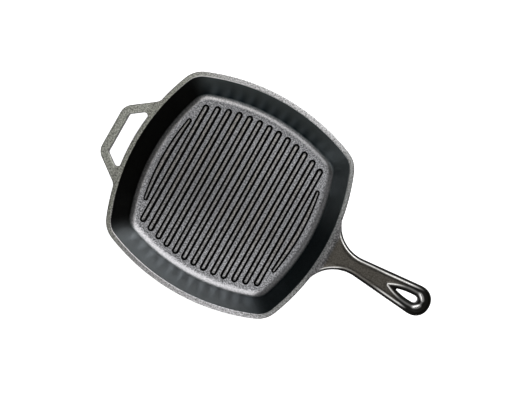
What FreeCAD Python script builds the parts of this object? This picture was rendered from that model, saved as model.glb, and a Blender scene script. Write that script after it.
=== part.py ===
# A square cast-iron grill pan: a well with bulging sides, ribs across its floor, a handle with a
# teardrop hanging eye and a helper loop opposite it. The pan is one casting, divided here at its
# natural lines into regions that meet face to face. Millimetres, +X along the handle, +Z up, with
# the origin in the middle of the base's underside.
import FreeCAD
import Part
import Sketcher
import math
import os

from FreeCAD import Placement, Rotation, Vector

DRIVING_SIZES = [
    # The mouth of the pan, over the outside of the rim
    ("pan_length", 282),
    ("pan_width", 280),
    ("pan_height", 50),
    ("side_radius", 270),
    ("corner_radius", 33),
    ("rim_width", 6.2),
    ("rim_depth", 6),
    # The floor of the well, where the inner walls would meet it without their rounded foot
    ("well_length", 236),
    ("well_width", 233.4),
    ("well_side_radius", 266),
    ("well_corner_radius", 27),
    ("foot_radius", 12),
    ("foot_height", 1),
    ("floor_thickness", 4),
    ("wall_foot", 2.4),
    ("base_radius", 4),
    # The ribs across the floor
    ("rib_width", 8.6),
    ("rib_top_width", 3.8),
    ("rib_height", 3.5),
    ("rib_end_gap", 2.2),
    ("rib_end_radius", 221),
    ("end_rib_width", 10),
    ("end_rib_length", 124),
    ("end_rib_gap", 3.3),
    # The handle, measured from the rim outwards
    ("handle_length", 143),
    ("handle_end_width", 38.6),
    ("handle_neck_width", 23.8),
    ("handle_flare_radius", 46),
    ("handle_thickness", 11),
    ("handle_rise_angle", 4),
    ("handle_bend_radius", 60),
    ("handle_lug_length", 5),
    ("handle_edge_radius", 3),
    ("handle_root_length", 34),
    ("root_tip_thickness", 3),
    ("eye_region_length", 66),
    # The teardrop eye through the handle's end
    ("eye_length", 29.6),
    ("eye_width", 8.8),
    ("eye_tip_radius", 1.2),
    ("eye_side_radius", 70),
    ("eye_end_wall", 16.6),
    ("eye_bevel", 4.2),
    # The helper loop, measured from the rim outwards
    ("loop_reach", 30),
    ("loop_bar_width", 11),
    ("loop_arm_width", 10.8),
    ("loop_bar_flat", 46.4),
    ("loop_arm_angle", 36.5),
    ("loop_outer_radius", 18),
    ("loop_inner_radius", 3.5),
    ("loop_flare_radius", 20),
    ("loop_throat_radius", 5.3),
    ("loop_thickness", 8),
    ("loop_edge_radius", 1.5),
    # How far a flare runs into the rim's outline, and how deep the roots start behind it
    ("flare_bite", 1),
    ("root_depth", 22),
]
STRAIGHT_RIBS = 13
# Flat steps that stand for the round of a foot
FOOT_STEPS = 4

doc = FreeCAD.newDocument("GrillPan")
sheet = doc.addObject("Spreadsheet::Sheet", "Sizes")
for row, (alias, value) in enumerate(DRIVING_SIZES, start=1):
    sheet.set(f"A{row}", alias)
    sheet.set(f"B{row}", str(value))
    sheet.setAlias(f"B{row}", alias)
doc.recompute()

# How a sketch numbers its own axes, the origin on them, and the points of a line or an arc
X_AXIS, Y_AXIS = range(-1, -3, -1)
START, END, CENTRE = range(1, 4)
ORIGIN_POINT = (X_AXIS, START)


def size(alias):
    """The expression that reads one driving size from the sheet."""
    return f"Sizes.{alias}"


def number(expression):
    """What an expression on the sheet comes to now, for first guesses in a sketch."""
    return float(sheet.evalExpression(expression.replace("Sizes.", "")))


HALF_LENGTH = f"({size('pan_length')} / 2)"
HALF_WIDTH = f"({size('pan_width')} / 2)"
RIM_HEIGHT = size("pan_height")


def new_body(name):
    return doc.addObject("PartDesign::Body", name)


def origin_plane(body, role):
    return next(feature for feature in body.Origin.OriginFeatures if feature.Role == role)


def new_sketch(body, name, role="XY_Plane", height=None):
    """A sketch on one of the body's own origin planes, raised by an expression where one is given."""
    sketch = body.newObject("Sketcher::SketchObject", name)
    sketch.AttachmentSupport = [(origin_plane(body, role), "")]
    sketch.MapMode = "FlatFace"
    if height:
        sketch.setExpression(".AttachmentOffset.Base.z", height)
    return sketch


def arc(centre, radius, start, end):
    circle = Part.Circle(Vector(centre[0], centre[1], 0), Vector(0, 0, 1), radius)
    return Part.ArcOfCircle(circle, start, end)


def line(first, last):
    return Part.LineSegment(Vector(first[0], first[1], 0), Vector(last[0], last[1], 0))


def constrain(sketch, kind, *items):
    sketch.addConstraint(Sketcher.Constraint(kind, *items))


def drive(sketch, expression, kind, *items):
    """A dimension of the sketch, bound to the sheet."""
    index = sketch.addConstraint(Sketcher.Constraint(kind, *items, number(expression)))
    sketch.setExpression(f"Constraints[{index}]", expression)


def point_at(centre, radius, angle):
    return (centre[0] + radius * math.cos(angle), centre[1] + radius * math.sin(angle))


def bulged_square(body, name, height, half_x, half_y, side_radius, corner_radius):
    """A closed outline of four bulging sides and four tangent corners, about the origin."""
    sketch = new_sketch(body, name, height=height)
    side = number(side_radius)
    corner = number(corner_radius)
    inset_x = side - number(half_x)
    inset_y = side - number(half_y)
    ratio = inset_x / inset_y
    shift = (inset_x ** 2 - inset_y ** 2) / (2 * inset_y)
    a = 1 + ratio ** 2
    b = 2 * (inset_x + ratio * shift)
    c = inset_x ** 2 + shift ** 2 - (side - corner) ** 2
    corner_x = (-b + math.sqrt(b * b - 4 * a * c)) / (2 * a)
    corner_y = ratio * corner_x + shift
    low = math.atan2(corner_y, corner_x + inset_x)
    high = math.atan2(corner_y + inset_y, corner_x)
    turns = [
        ((-inset_x, 0), side, -low, low),
        ((corner_x, corner_y), corner, low, high),
        ((0, -inset_y), side, high, math.pi - high),
        ((-corner_x, corner_y), corner, math.pi - high, math.pi - low),
        ((inset_x, 0), side, math.pi - low, math.pi + low),
        ((-corner_x, -corner_y), corner, math.pi + low, math.pi + high),
        ((0, inset_y), side, math.pi + high, 2 * math.pi - high),
        ((corner_x, -corner_y), corner, 2 * math.pi - high, 2 * math.pi - low),
    ]
    for turn in turns:
        sketch.addGeometry(arc(*turn))
    for index in range(8):
        constrain(sketch, "Tangent", index, END, (index + 1) % 8, START)
    for index in (0, 4):
        constrain(sketch, "PointOnObject", index, CENTRE, X_AXIS)
        constrain(sketch, "PointOnObject", index + 2, CENTRE, Y_AXIS)
    back_x = f"{side_radius} - {half_x}"
    back_y = f"{side_radius} - {half_y}"
    drive(sketch, back_x, "DistanceX", 0, CENTRE, *ORIGIN_POINT)
    drive(sketch, back_y, "DistanceY", 2, CENTRE, *ORIGIN_POINT)
    drive(sketch, back_x, "DistanceX", *ORIGIN_POINT, 4, CENTRE)
    drive(sketch, back_y, "DistanceY", *ORIGIN_POINT, 6, CENTRE)
    drive(sketch, side_radius, "Radius", 0)
    drive(sketch, corner_radius, "Radius", 1)
    for index in (2, 4, 6):
        constrain(sketch, "Equal", 0, index)
        constrain(sketch, "Equal", 1, index + 1)
    return sketch


def ruled_loft(body, name, *sketches):
    loft = body.newObject("PartDesign::AdditiveLoft", name)
    loft.Profile = sketches[0]
    loft.Sections = list(sketches[1:])
    loft.Ruled = True
    doc.recompute()
    return loft


def rounded(body, name, feature, edges, radius):
    """Round the named edges of a feature by a size from the sheet."""
    fillet = body.newObject("PartDesign::Fillet", name)
    fillet.Base = (feature, edges)
    fillet.setExpression("Radius", radius)
    doc.recompute()
    return fillet


def edges_where(shape, wanted):
    """Names of the edges that a test on an edge accepts."""
    return [f"Edge{index}" for index, edge in enumerate(shape.Edges, start=1) if wanted(edge)]


def middle_of(edge):
    return edge.valueAt((edge.FirstParameter + edge.LastParameter) / 2)


def lean_at(shape, edge):
    """The upward parts of the normals of the faces beside an edge, lowest first."""
    point = middle_of(edge)
    leans = []
    for face in shape.ancestorsOfType(edge, Part.Face):
        u, v = face.Surface.parameter(point)
        leans.append(face.normalAt(u, v).z)
    return sorted(leans)


class Outline:
    """The sizes of one bulged square, as expressions: half lengths, side radius and corner radius."""

    def __init__(self, half_x, half_y, side_radius, corner_radius):
        self.half_x = half_x
        self.half_y = half_y
        self.side_radius = side_radius
        self.corner_radius = corner_radius

    def grown(self, amount):
        """The same outline moved outwards all round."""
        grown = [f"({value} + {amount})" for value in vars(self).values()]
        return Outline(*grown)


def foot_reach(radius, run, rise):
    """How far a rounded foot reaches in from where a bare wall of this slope would meet the floor."""
    return f"({radius} * (sqrt({run} ^ 2 + {rise} ^ 2) - {run}) / {rise})"


def tapered_block(name, low, foot, mouth, radius):
    """A solid from a low level up to the rim, leaning out to its mouth, with a rounded foot."""
    body = new_body(name)
    run = f"({mouth.half_y} - {foot.half_y})"
    rise = f"({RIM_HEIGHT} - {low})"
    flat = foot.grown(f"(-1 * {foot_reach(radius, run, rise)})")
    sketches = []
    for step in range(FOOT_STEPS + 1):
        turn = f"({step} / {FOOT_STEPS} * atan({rise} / {run}))"
        level = f"({low} + {radius} * (1 - cos({turn})))"
        outline = flat.grown(f"({radius} * sin({turn}))")
        sketches.append(bulged_square(body, f"{name}Foot{step}", level, *vars(outline).values()))
    sketches.append(bulged_square(body, f"{name}Mouth", RIM_HEIGHT, *vars(mouth).values()))
    ruled_loft(body, f"{name}Loft", *sketches)
    return body


# The outside of the pan as one solid block, which is also what the roots are cut to, and the well
# inside it
rim = Outline(HALF_LENGTH, HALF_WIDTH, size("side_radius"), size("corner_radius"))
mouth = rim.grown(f"(-1 * {size('rim_width')})")
well_floor = Outline(f"({size('well_length')} / 2)", f"({size('well_width')} / 2)",
                     size("well_side_radius"), size("well_corner_radius"))
base = well_floor.grown(size("wall_foot"))
blank = tapered_block("PanBlank", "0", base, rim, size("base_radius"))
well = tapered_block("PanWell", size("floor_thickness"), well_floor, mouth, size("foot_radius"))

shell = doc.addObject("Part::Cut", "PanShell")
shell.Base = blank
shell.Tool = well
doc.recompute()

sub_parts = []


def add_sub_part(feature, label):
    feature.Label = label
    sub_parts.append(feature)


def slab(name, axis, low, high):
    """A box across the whole pan, from one place to another along an axis."""
    reach = f"(2 * ({size('pan_length')} + {size('pan_width')} + {size('handle_length')}))"
    box = doc.addObject("Part::Box", name)
    for letter, side in (("x", "Length"), ("y", "Width"), ("z", "Height")):
        if letter == axis:
            box.setExpression(side, f"{high} - {low}")
            box.setExpression(f"Placement.Base.{letter}", low)
        else:
            box.setExpression(side, reach)
            box.setExpression(f"Placement.Base.{letter}", f"-{reach} / 2")
    return box


def region(label, whole, axis, low, high):
    """The stretch of a solid between two places along an axis, as a sub-part of its own."""
    common = doc.addObject("Part::Common", f"Region_{label}")
    common.Base = whole
    common.Tool = slab(f"Slab_{label}", axis, low, high)
    add_sub_part(common, label)
    return common


# The pan in three regions, one above the other: floor plate, wall and rim band
foot_level = f"({size('floor_thickness')} + {size('foot_height')})"
rim_level = f"({RIM_HEIGHT} - {size('rim_depth')})"
region("pan_floor", shell, "z", f"(-1 * {size('floor_thickness')})", foot_level)
region("pan_wall", shell, "z", foot_level, rim_level)
region("pan_rim", shell, "z", rim_level, f"({RIM_HEIGHT} + {size('rim_depth')})")

# The ribs fill the flat of the floor: the two end ribs stop short of its rounded foot, and the
# straight ribs share what is left between them at one pitch.
wall_rise = f"({RIM_HEIGHT} - {size('floor_thickness')})"
wall_run = f"({mouth.half_y} - {well_floor.half_y})"
floor_foot = foot_reach(size("foot_radius"), wall_run, wall_rise)
end_rib_outer = f"({well_floor.half_x} - {floor_foot} - {size('end_rib_gap')})"
end_rib_inner = f"({end_rib_outer} - {size('end_rib_width')})"
rib_pitch = f"(({end_rib_inner} + {size('rib_width')} / 2) / {(STRAIGHT_RIBS + 1) / 2})"
longest_half = f"({well_floor.half_y} - {floor_foot} - {size('rib_end_gap')})"
rib_top_level = f"({size('floor_thickness')} + {size('rib_height')})"
flank_width = f"(({size('rib_width')} - {size('rib_top_width')}) / 2)"


def stadium(body, name, height, centre, radius):
    """A slot outline along Y about the origin: two round ends and two straight sides."""
    sketch = new_sketch(body, name, height=height)
    half = number(centre)
    round_end = number(radius)
    sketch.addGeometry(arc((0, half), round_end, 0, math.pi))
    sketch.addGeometry(line((-round_end, half), (-round_end, -half)))
    sketch.addGeometry(arc((0, -half), round_end, math.pi, 2 * math.pi))
    sketch.addGeometry(line((round_end, -half), (round_end, half)))
    for index in range(4):
        constrain(sketch, "Tangent", index, END, (index + 1) % 4, START)
    constrain(sketch, "PointOnObject", 0, CENTRE, Y_AXIS)
    constrain(sketch, "PointOnObject", 2, CENTRE, Y_AXIS)
    drive(sketch, centre, "DistanceY", *ORIGIN_POINT, 0, CENTRE)
    drive(sketch, centre, "DistanceY", 2, CENTRE, *ORIGIN_POINT)
    drive(sketch, radius, "Radius", 0)
    constrain(sketch, "Equal", 0, 2)
    return sketch


def straight_rib(label, step):
    """One rib with sloping flanks, some steps of the pitch from the middle of the pan."""
    body = new_body(f"Rib_{label}")
    across = f"({step} * {rib_pitch})"
    sag = f"({size('rib_end_radius')} - sqrt({size('rib_end_radius')} ^ 2 - {across} ^ 2))"
    centre = f"({longest_half} - {sag} - {size('rib_width')} / 2)"
    foot = stadium(body, "RibFoot", size("floor_thickness"), centre, f"({size('rib_width')} / 2)")
    top = stadium(body, "RibTop", rib_top_level, centre, f"({size('rib_top_width')} / 2)")
    ruled_loft(body, "RibLoft", foot, top)
    body.setExpression("Placement.Base.x", across)
    add_sub_part(body, label)


def half_moon(body, name, height, inset):
    """A straight side towards the ribs and one arc towards the wall, inset all round."""
    sketch = new_sketch(body, name, height=height)
    half_chord = f"({size('end_rib_length')} / 2)"
    bulge = size("end_rib_width")
    full_radius = f"(({half_chord} ^ 2 + {bulge} ^ 2) / (2 * {bulge}))"
    radius = f"({full_radius} - {inset})"
    back = f"({full_radius} - {end_rib_outer})"
    flat = f"({end_rib_inner} + {inset})"
    spread = math.acos((number(flat) + number(back)) / number(radius))
    centre = (-number(back), 0)
    sketch.addGeometry(arc(centre, number(radius), -spread, spread))
    sketch.addGeometry(line(point_at(centre, number(radius), spread),
                            point_at(centre, number(radius), -spread)))
    constrain(sketch, "Coincident", 0, END, 1, START)
    constrain(sketch, "Coincident", 1, END, 0, START)
    constrain(sketch, "PointOnObject", 0, CENTRE, X_AXIS)
    constrain(sketch, "Vertical", 1)
    drive(sketch, back, "DistanceX", 0, CENTRE, *ORIGIN_POINT)
    drive(sketch, radius, "Radius", 0)
    drive(sketch, flat, "DistanceX", *ORIGIN_POINT, 1, START)
    return sketch


def end_rib(label, turn):
    """One of the two half-moon ribs that close the field, turned to its end of the pan."""
    body = new_body(f"Rib_{label}")
    foot = half_moon(body, "RibFoot", size("floor_thickness"), "0")
    top = half_moon(body, "RibTop", rib_top_level, flank_width)
    ruled_loft(body, "RibLoft", foot, top)
    body.Placement = Placement(Vector(0, 0, 0), Rotation(Vector(0, 0, 1), turn))
    add_sub_part(body, label)


for rib in range(1, STRAIGHT_RIBS + 1):
    straight_rib(f"rib_{rib:02d}", rib - (STRAIGHT_RIBS + 1) // 2)
end_rib("rib_handle_end", 0)
end_rib("rib_loop_end", 180)


def rim_circle(sketch, index, side):
    """The rim's side, drawn in by the bite, as the circle that a flare runs into."""
    radius = f"({size('side_radius')} - {size('flare_bite')})"
    back = f"({size('side_radius')} - {HALF_LENGTH})"
    centre = (-side * number(back), 0)
    sketch.addGeometry(Part.Circle(Vector(*centre, 0), Vector(0, 0, 1), number(radius)), True)
    constrain(sketch, "PointOnObject", index, CENTRE, X_AXIS)
    if side > 0:
        drive(sketch, back, "DistanceX", index, CENTRE, *ORIGIN_POINT)
    else:
        drive(sketch, back, "DistanceX", *ORIGIN_POINT, index, CENTRE)
    drive(sketch, radius, "Radius", index)
    return centre, number(radius)


def mirror_across(body, name, feature):
    """Repeat a feature on the other side of the pan's long axis."""
    mirror = body.newObject("PartDesign::Mirrored", name)
    mirror.Originals = [feature]
    mirror.MirrorPlane = (origin_plane(body, "XZ_Plane"), [""])
    body.Tip = mirror
    doc.recompute()
    return mirror


def mirrored_pad(body, sketch, name, base, height):
    """Pad a half outline from a level by a height, and mirror it across the pan's long axis."""
    sketch.setExpression(".AttachmentOffset.Base.z", base)
    pad = body.newObject("PartDesign::Pad", name)
    pad.Profile = sketch
    pad.setExpression("Length", height)
    doc.recompute()
    return mirror_across(body, f"{name}Mirror", pad)


# The handle: half of its outline seen from above, from the pan's middle line outwards
handle = new_body("Handle")
plan = new_sketch(handle, "HandlePlan")
end_radius = f"({size('handle_end_width')} / 2)"
end_centre = f"({HALF_LENGTH} + {size('handle_length')} - {end_radius})"
flare_radius = size("handle_flare_radius")
flare_height = f"({size('handle_neck_width')} / 2 + {flare_radius})"
root_start = f"({HALF_LENGTH} - {size('root_depth')})"
rim_back = number(f"{size('side_radius')} - {HALF_LENGTH}")
rim_reach = number(f"{size('side_radius')} - {size('flare_bite')} + {flare_radius}")
flare = (-rim_back + math.sqrt(rim_reach ** 2 - number(flare_height) ** 2), number(flare_height))
round_end = (number(end_centre), 0)
to_flare = Vector(flare[0] - round_end[0], flare[1] - round_end[1], 0)
both_radii = number(f"{end_radius} + {flare_radius}")
side_normal = math.atan2(to_flare.y, to_flare.x) - math.acos(both_radii / to_flare.Length)
rim_angle = math.atan2(-flare[1], -rim_back - flare[0]) + 2 * math.pi
flare_tip = point_at(flare, number(flare_radius), rim_angle)
inner_x = number(root_start)
far_x = number(f"{HALF_LENGTH} + {size('handle_length')}")
plan.addGeometry(line((inner_x, 0), (far_x, 0)))
plan.addGeometry(arc(round_end, number(end_radius), 0, side_normal))
plan.addGeometry(line(point_at(round_end, number(end_radius), side_normal),
                      point_at(flare, number(flare_radius), side_normal + math.pi)))
plan.addGeometry(arc(flare, number(flare_radius), rim_angle, side_normal + math.pi))
plan.addGeometry(line(flare_tip, (inner_x, flare_tip[1])))
plan.addGeometry(line((inner_x, flare_tip[1]), (inner_x, 0)))
rim_circle(plan, 6, 1)
constrain(plan, "PointOnObject", 0, START, X_AXIS)
constrain(plan, "PointOnObject", 0, END, X_AXIS)
constrain(plan, "Coincident", 0, END, 1, START)
constrain(plan, "PointOnObject", 1, CENTRE, X_AXIS)
drive(plan, end_centre, "DistanceX", *ORIGIN_POINT, 1, CENTRE)
drive(plan, end_radius, "Radius", 1)
constrain(plan, "Tangent", 1, END, 2, START)
constrain(plan, "Tangent", 2, END, 3, END)
drive(plan, flare_radius, "Radius", 3)
drive(plan, flare_height, "DistanceY", *ORIGIN_POINT, 3, CENTRE)
constrain(plan, "Tangent", 3, START, 6)
constrain(plan, "Coincident", 3, START, 4, START)
constrain(plan, "Horizontal", 4)
constrain(plan, "Coincident", 4, END, 5, START)
constrain(plan, "Vertical", 5)
constrain(plan, "Coincident", 5, END, 0, START)
drive(plan, root_start, "DistanceX", *ORIGIN_POINT, 5, START)
handle_rise = f"({size('handle_length')} * tan({size('handle_rise_angle')} * 1 deg))"
handle_top = f"({RIM_HEIGHT} + {handle_rise} + {size('handle_thickness')})"
mirrored_pad(handle, plan, "HandleBlank", "0", handle_top)


def handle_profile(name, drop, over):
    """What is cut away above or below the handle, seen from the side: level over the lug, then rising."""
    sketch = new_sketch(handle, name, role="XZ_Plane")
    level = f"({RIM_HEIGHT} - {drop})"
    bend_start = f"({HALF_LENGTH} + {size('handle_lug_length')})"
    bend_radius = size("handle_bend_radius")
    bend_height = f"({level} + {bend_radius})"
    far_end = f"({HALF_LENGTH} + {size('handle_length')} + {size('handle_thickness')})"
    rise_angle = math.radians(number(size("handle_rise_angle")))
    bend = (number(bend_start), number(bend_height))
    bend_end = point_at(bend, number(bend_radius), rise_angle - math.pi / 2)
    start_x = number(root_start)
    end_x = number(far_end)
    end_z = bend_end[1] + (end_x - bend_end[0]) * math.tan(rise_angle)
    over_z = number(over)
    sketch.addGeometry(line((start_x, number(level)), (bend[0], number(level))))
    sketch.addGeometry(arc(bend, number(bend_radius), -math.pi / 2, rise_angle - math.pi / 2))
    sketch.addGeometry(line(bend_end, (end_x, end_z)))
    sketch.addGeometry(line((end_x, end_z), (end_x, over_z)))
    sketch.addGeometry(line((end_x, over_z), (start_x, over_z)))
    sketch.addGeometry(line((start_x, over_z), (start_x, number(level))))
    constrain(sketch, "Tangent", 0, END, 1, START)
    constrain(sketch, "Tangent", 1, END, 2, START)
    for index in (2, 3, 4):
        constrain(sketch, "Coincident", index, END, index + 1, START)
    constrain(sketch, "Coincident", 5, END, 0, START)
    constrain(sketch, "Horizontal", 0)
    constrain(sketch, "Vertical", 3)
    constrain(sketch, "Horizontal", 4)
    constrain(sketch, "Vertical", 5)
    drive(sketch, level, "DistanceY", *ORIGIN_POINT, 0, START)
    drive(sketch, root_start, "DistanceX", *ORIGIN_POINT, 0, START)
    drive(sketch, bend_start, "DistanceX", *ORIGIN_POINT, 1, CENTRE)
    drive(sketch, bend_radius, "Radius", 1)
    drive(sketch, far_end, "DistanceX", *ORIGIN_POINT, 3, START)
    if over_z > 0:
        drive(sketch, over, "DistanceY", *ORIGIN_POINT, 4, START)
    else:
        drive(sketch, f"-1 * {over}", "DistanceY", 4, START, *ORIGIN_POINT)
    slope = sketch.addConstraint(Sketcher.Constraint("Angle", 2, rise_angle))
    sketch.setExpression(f"Constraints[{slope}]", f"{size('handle_rise_angle')} * 1 deg")
    return sketch


def cut_through(name, sketch):
    """Cut a sketch right through the handle, both ways from its plane."""
    before = handle.Shape.Volume
    pocket = handle.newObject("PartDesign::Pocket", name)
    pocket.Profile = sketch
    pocket.Type = "ThroughAll"
    pocket.SideType = "Symmetric"
    doc.recompute()
    if not handle.Shape.Volume < before - 1:
        raise RuntimeError(f"{name} cuts nothing")
    return pocket


cut_through("TopCut", handle_profile("TopProfile", "0", f"({handle_top} + {size('handle_thickness')})"))
under_profile = handle_profile("UnderProfile", size("handle_thickness"),
                               f"(-1 * {size('handle_thickness')})")
under_cut = cut_through("UnderCut", under_profile)


def handle_outline_edge(edge):
    """Whether an edge is on the handle's free outline, along its top or its underside."""
    leans = lean_at(under_cut.Shape, edge)
    outside = middle_of(edge).x > number(HALF_LENGTH) - number(size("flare_bite"))
    if len(leans) != 2 or not outside:
        return False
    return min(abs(leans[0]), abs(leans[1])) < 0.3 and max(abs(leans[0]), abs(leans[1])) > 0.7


outline_edges = edges_where(under_cut.Shape, handle_outline_edge)
rounded(handle, "HandleRound", under_cut, outline_edges, size("handle_edge_radius"))

# The root thins on its underside towards the tips of its flares, seen along the handle
taper = new_sketch(handle, "RootTaper", role="YZ_Plane")
flare_circle = f"({size('side_radius')} - {size('flare_bite')})"
flare_tip_y = f"({flare_circle} * {flare_height} / ({flare_circle} + {flare_radius}))"
taper_out = f"({flare_tip_y} + {size('flare_bite')})"
taper_top = f"({RIM_HEIGHT} - {size('root_tip_thickness')})"
taper_level = f"({RIM_HEIGHT} - {size('handle_thickness')})"
taper_low = f"({taper_level} - {size('flare_bite')})"
taper_corners = [
    (number(end_radius), number(taper_level)),
    (number(taper_out), number(taper_top)),
    (number(taper_out), number(taper_low)),
    (number(end_radius), number(taper_low)),
]
for index, corner in enumerate(taper_corners):
    taper.addGeometry(line(corner, taper_corners[(index + 1) % 4]))
for index in range(4):
    constrain(taper, "Coincident", index, END, (index + 1) % 4, START)
constrain(taper, "Vertical", 1)
constrain(taper, "Horizontal", 2)
constrain(taper, "Vertical", 3)
drive(taper, end_radius, "DistanceX", *ORIGIN_POINT, 0, START)
drive(taper, taper_level, "DistanceY", *ORIGIN_POINT, 0, START)
drive(taper, taper_out, "DistanceX", *ORIGIN_POINT, 1, START)
drive(taper, taper_top, "DistanceY", *ORIGIN_POINT, 1, START)
drive(taper, taper_low, "DistanceY", *ORIGIN_POINT, 2, END)
taper_cut = cut_through("TaperCut", taper)
mirror_across(handle, "TaperMirror", taper_cut)

# The teardrop eye: a large round end, a small round tip and two gently bulging sides
eye = new_sketch(handle, "EyeOutline")
eye_end_radius = f"({size('eye_width')} / 2)"
eye_far = f"({HALF_LENGTH} + {size('handle_length')} - {size('eye_end_wall')})"
eye_end_centre = f"({eye_far} - {eye_end_radius})"
eye_tip_centre = f"({eye_far} - {size('eye_length')} + {size('eye_tip_radius')})"
eye_side_radius = size("eye_side_radius")
end_x = number(eye_end_centre)
tip_x = number(eye_tip_centre)
end_r = number(eye_end_radius)
tip_r = number(size("eye_tip_radius"))
side_r = number(eye_side_radius)
centres_apart = end_x - tip_x
end_side = side_r - end_r
tip_side = side_r - tip_r
side_x = end_x - (end_side ** 2 - tip_side ** 2 + centres_apart ** 2) / (2 * centres_apart)
side_y = math.sqrt(end_side ** 2 - (end_x - side_x) ** 2)
end_angle = math.atan2(side_y, end_x - side_x)
tip_angle = math.atan2(side_y, tip_x - side_x)
eye.addGeometry(arc((end_x, 0), end_r, -end_angle, end_angle))
eye.addGeometry(arc((side_x, -side_y), side_r, end_angle, tip_angle))
eye.addGeometry(arc((tip_x, 0), tip_r, tip_angle, 2 * math.pi - tip_angle))
eye.addGeometry(arc((side_x, side_y), side_r, 2 * math.pi - tip_angle, 2 * math.pi - end_angle))
for index in range(4):
    constrain(eye, "Tangent", index, END, (index + 1) % 4, START)
constrain(eye, "PointOnObject", 0, CENTRE, X_AXIS)
constrain(eye, "PointOnObject", 2, CENTRE, X_AXIS)
drive(eye, eye_end_centre, "DistanceX", *ORIGIN_POINT, 0, CENTRE)
drive(eye, eye_tip_centre, "DistanceX", *ORIGIN_POINT, 2, CENTRE)
drive(eye, eye_end_radius, "Radius", 0)
drive(eye, size("eye_tip_radius"), "Radius", 2)
drive(eye, eye_side_radius, "Radius", 1)
constrain(eye, "Equal", 1, 3)
eye_cut = cut_through("EyeCut", eye)


def eye_mouth_edge(edge):
    """Whether an edge is on the eye's mouth, in the handle's top face."""
    point = middle_of(edge)
    leans = lean_at(eye_cut.Shape, edge)
    in_eye = abs(point.y) < end_r + 1e-3 and tip_x - tip_r - 1e-3 < point.x < end_x + end_r + 1e-3
    return in_eye and len(leans) == 2 and abs(leans[0]) < 0.3 and leans[1] > 0.7


bevel = handle.newObject("PartDesign::Chamfer", "EyeBevel")
bevel.Base = (eye_cut, edges_where(eye_cut.Shape, eye_mouth_edge))
bevel.setExpression("Size", size("eye_bevel"))
doc.recompute()

# The handle in three regions: the flared root cut to the pan, the shank and the eye
handle_on_pan = doc.addObject("Part::Cut", "HandleOnPan")
handle_on_pan.Base = handle
handle_on_pan.Tool = blank
root_end = f"({HALF_LENGTH} + {size('handle_root_length')})"
eye_start = f"({HALF_LENGTH} + {size('handle_length')} - {size('eye_region_length')})"
handle_end = f"({HALF_LENGTH} + {size('handle_length')} + {size('handle_thickness')})"
region("handle_root", handle_on_pan, "x", "0", root_end)
region("handle_shank", handle_on_pan, "x", root_end, eye_start)
region("handle_eye", handle_on_pan, "x", eye_start, handle_end)

# The helper loop: half of its outline seen from above, a bar and an arm of even width
loop = new_body("Loop")
outline = new_sketch(loop, "LoopPlan")
loop_far = f"({HALF_LENGTH} + {size('loop_reach')})"
loop_near = f"({loop_far} - {size('loop_bar_width')})"
bar_half = f"({size('loop_bar_flat')} / 2)"
arm_turn = f"({size('loop_arm_angle')} * 1 deg)"
arm_angle = math.radians(number(size("loop_arm_angle")))
arm_width = number(size("loop_arm_width"))
outer_r = number(size("loop_outer_radius"))
inner_r = number(size("loop_inner_radius"))
flare_r = number(size("loop_flare_radius"))
throat_r = number(size("loop_throat_radius"))
along = Vector(math.cos(arm_angle), math.sin(arm_angle), 0)
outward = Vector(-math.sin(arm_angle), math.cos(arm_angle), 0)
half_turn = (math.pi / 2 - arm_angle) / 2
outer_corner = Vector(-number(loop_far), number(bar_half) + outer_r * math.tan(half_turn), 0)
inner_line = outer_corner - outward * arm_width
inner_corner = inner_line + along * ((-number(loop_near) - inner_line.x) / along.x)
rim_x = number(f"{size('side_radius')} - {HALF_LENGTH}")
rim_r = number(f"{size('side_radius')} - {size('flare_bite')}")


def beside_arm(start, offset, reach):
    """The centre of an arc that touches an arm's edge, a distance outside it, and the rim's circle."""
    anchor = start + outward * offset - Vector(rim_x, 0, 0)
    middle = anchor.dot(along)
    travel = -middle - math.sqrt(middle ** 2 - anchor.dot(anchor) + reach ** 2)
    return anchor + along * travel + Vector(rim_x, 0, 0)


outer_flare = beside_arm(outer_corner, flare_r, rim_r + flare_r)
throat = beside_arm(inner_corner, -throat_r, rim_r + throat_r)


def towards_rim(centre):
    return math.atan2(-centre.y, rim_x - centre.x)


outer_centre = outer_corner + Vector(outer_r, -outer_r * math.tan(half_turn), 0)
inner_centre = inner_corner + Vector(inner_r, -inner_r * math.tan(half_turn), 0)
edge_angle = math.pi / 2 + arm_angle
flare_point = point_at(outer_flare, flare_r, towards_rim(outer_flare))
throat_point = point_at(throat, throat_r, towards_rim(throat))
inside_x = -number(root_start)
far_line = -number(loop_far)
near_line = -number(loop_near)
outline.addGeometry(line((inside_x, flare_point[1]), flare_point))
outline.addGeometry(arc(outer_flare, flare_r, edge_angle + math.pi, towards_rim(outer_flare) + 2 * math.pi))
outline.addGeometry(line(point_at(outer_flare, flare_r, edge_angle + math.pi),
                         point_at(outer_centre, outer_r, edge_angle)))
outline.addGeometry(arc(outer_centre, outer_r, edge_angle, math.pi))
outline.addGeometry(line((far_line, outer_centre.y), (far_line, 0)))
outline.addGeometry(line((far_line, 0), (near_line, 0)))
outline.addGeometry(line((near_line, 0), (near_line, inner_centre.y)))
outline.addGeometry(arc(inner_centre, inner_r, edge_angle, math.pi))
outline.addGeometry(line(point_at(inner_centre, inner_r, edge_angle), point_at(throat, throat_r, edge_angle)))
outline.addGeometry(arc(throat, throat_r, towards_rim(throat), edge_angle))
outline.addGeometry(line(throat_point, (inside_x, throat_point[1])))
outline.addGeometry(line((inside_x, throat_point[1]), (inside_x, flare_point[1])))
rim_circle(outline, 12, -1)
constrain(outline, "Coincident", 0, END, 1, END)
constrain(outline, "Tangent", 1, START, 2, START)
constrain(outline, "Tangent", 2, END, 3, START)
constrain(outline, "Tangent", 3, END, 4, START)
constrain(outline, "Coincident", 4, END, 5, START)
constrain(outline, "Coincident", 5, END, 6, START)
constrain(outline, "Tangent", 6, END, 7, END)
constrain(outline, "Tangent", 7, START, 8, START)
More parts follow.
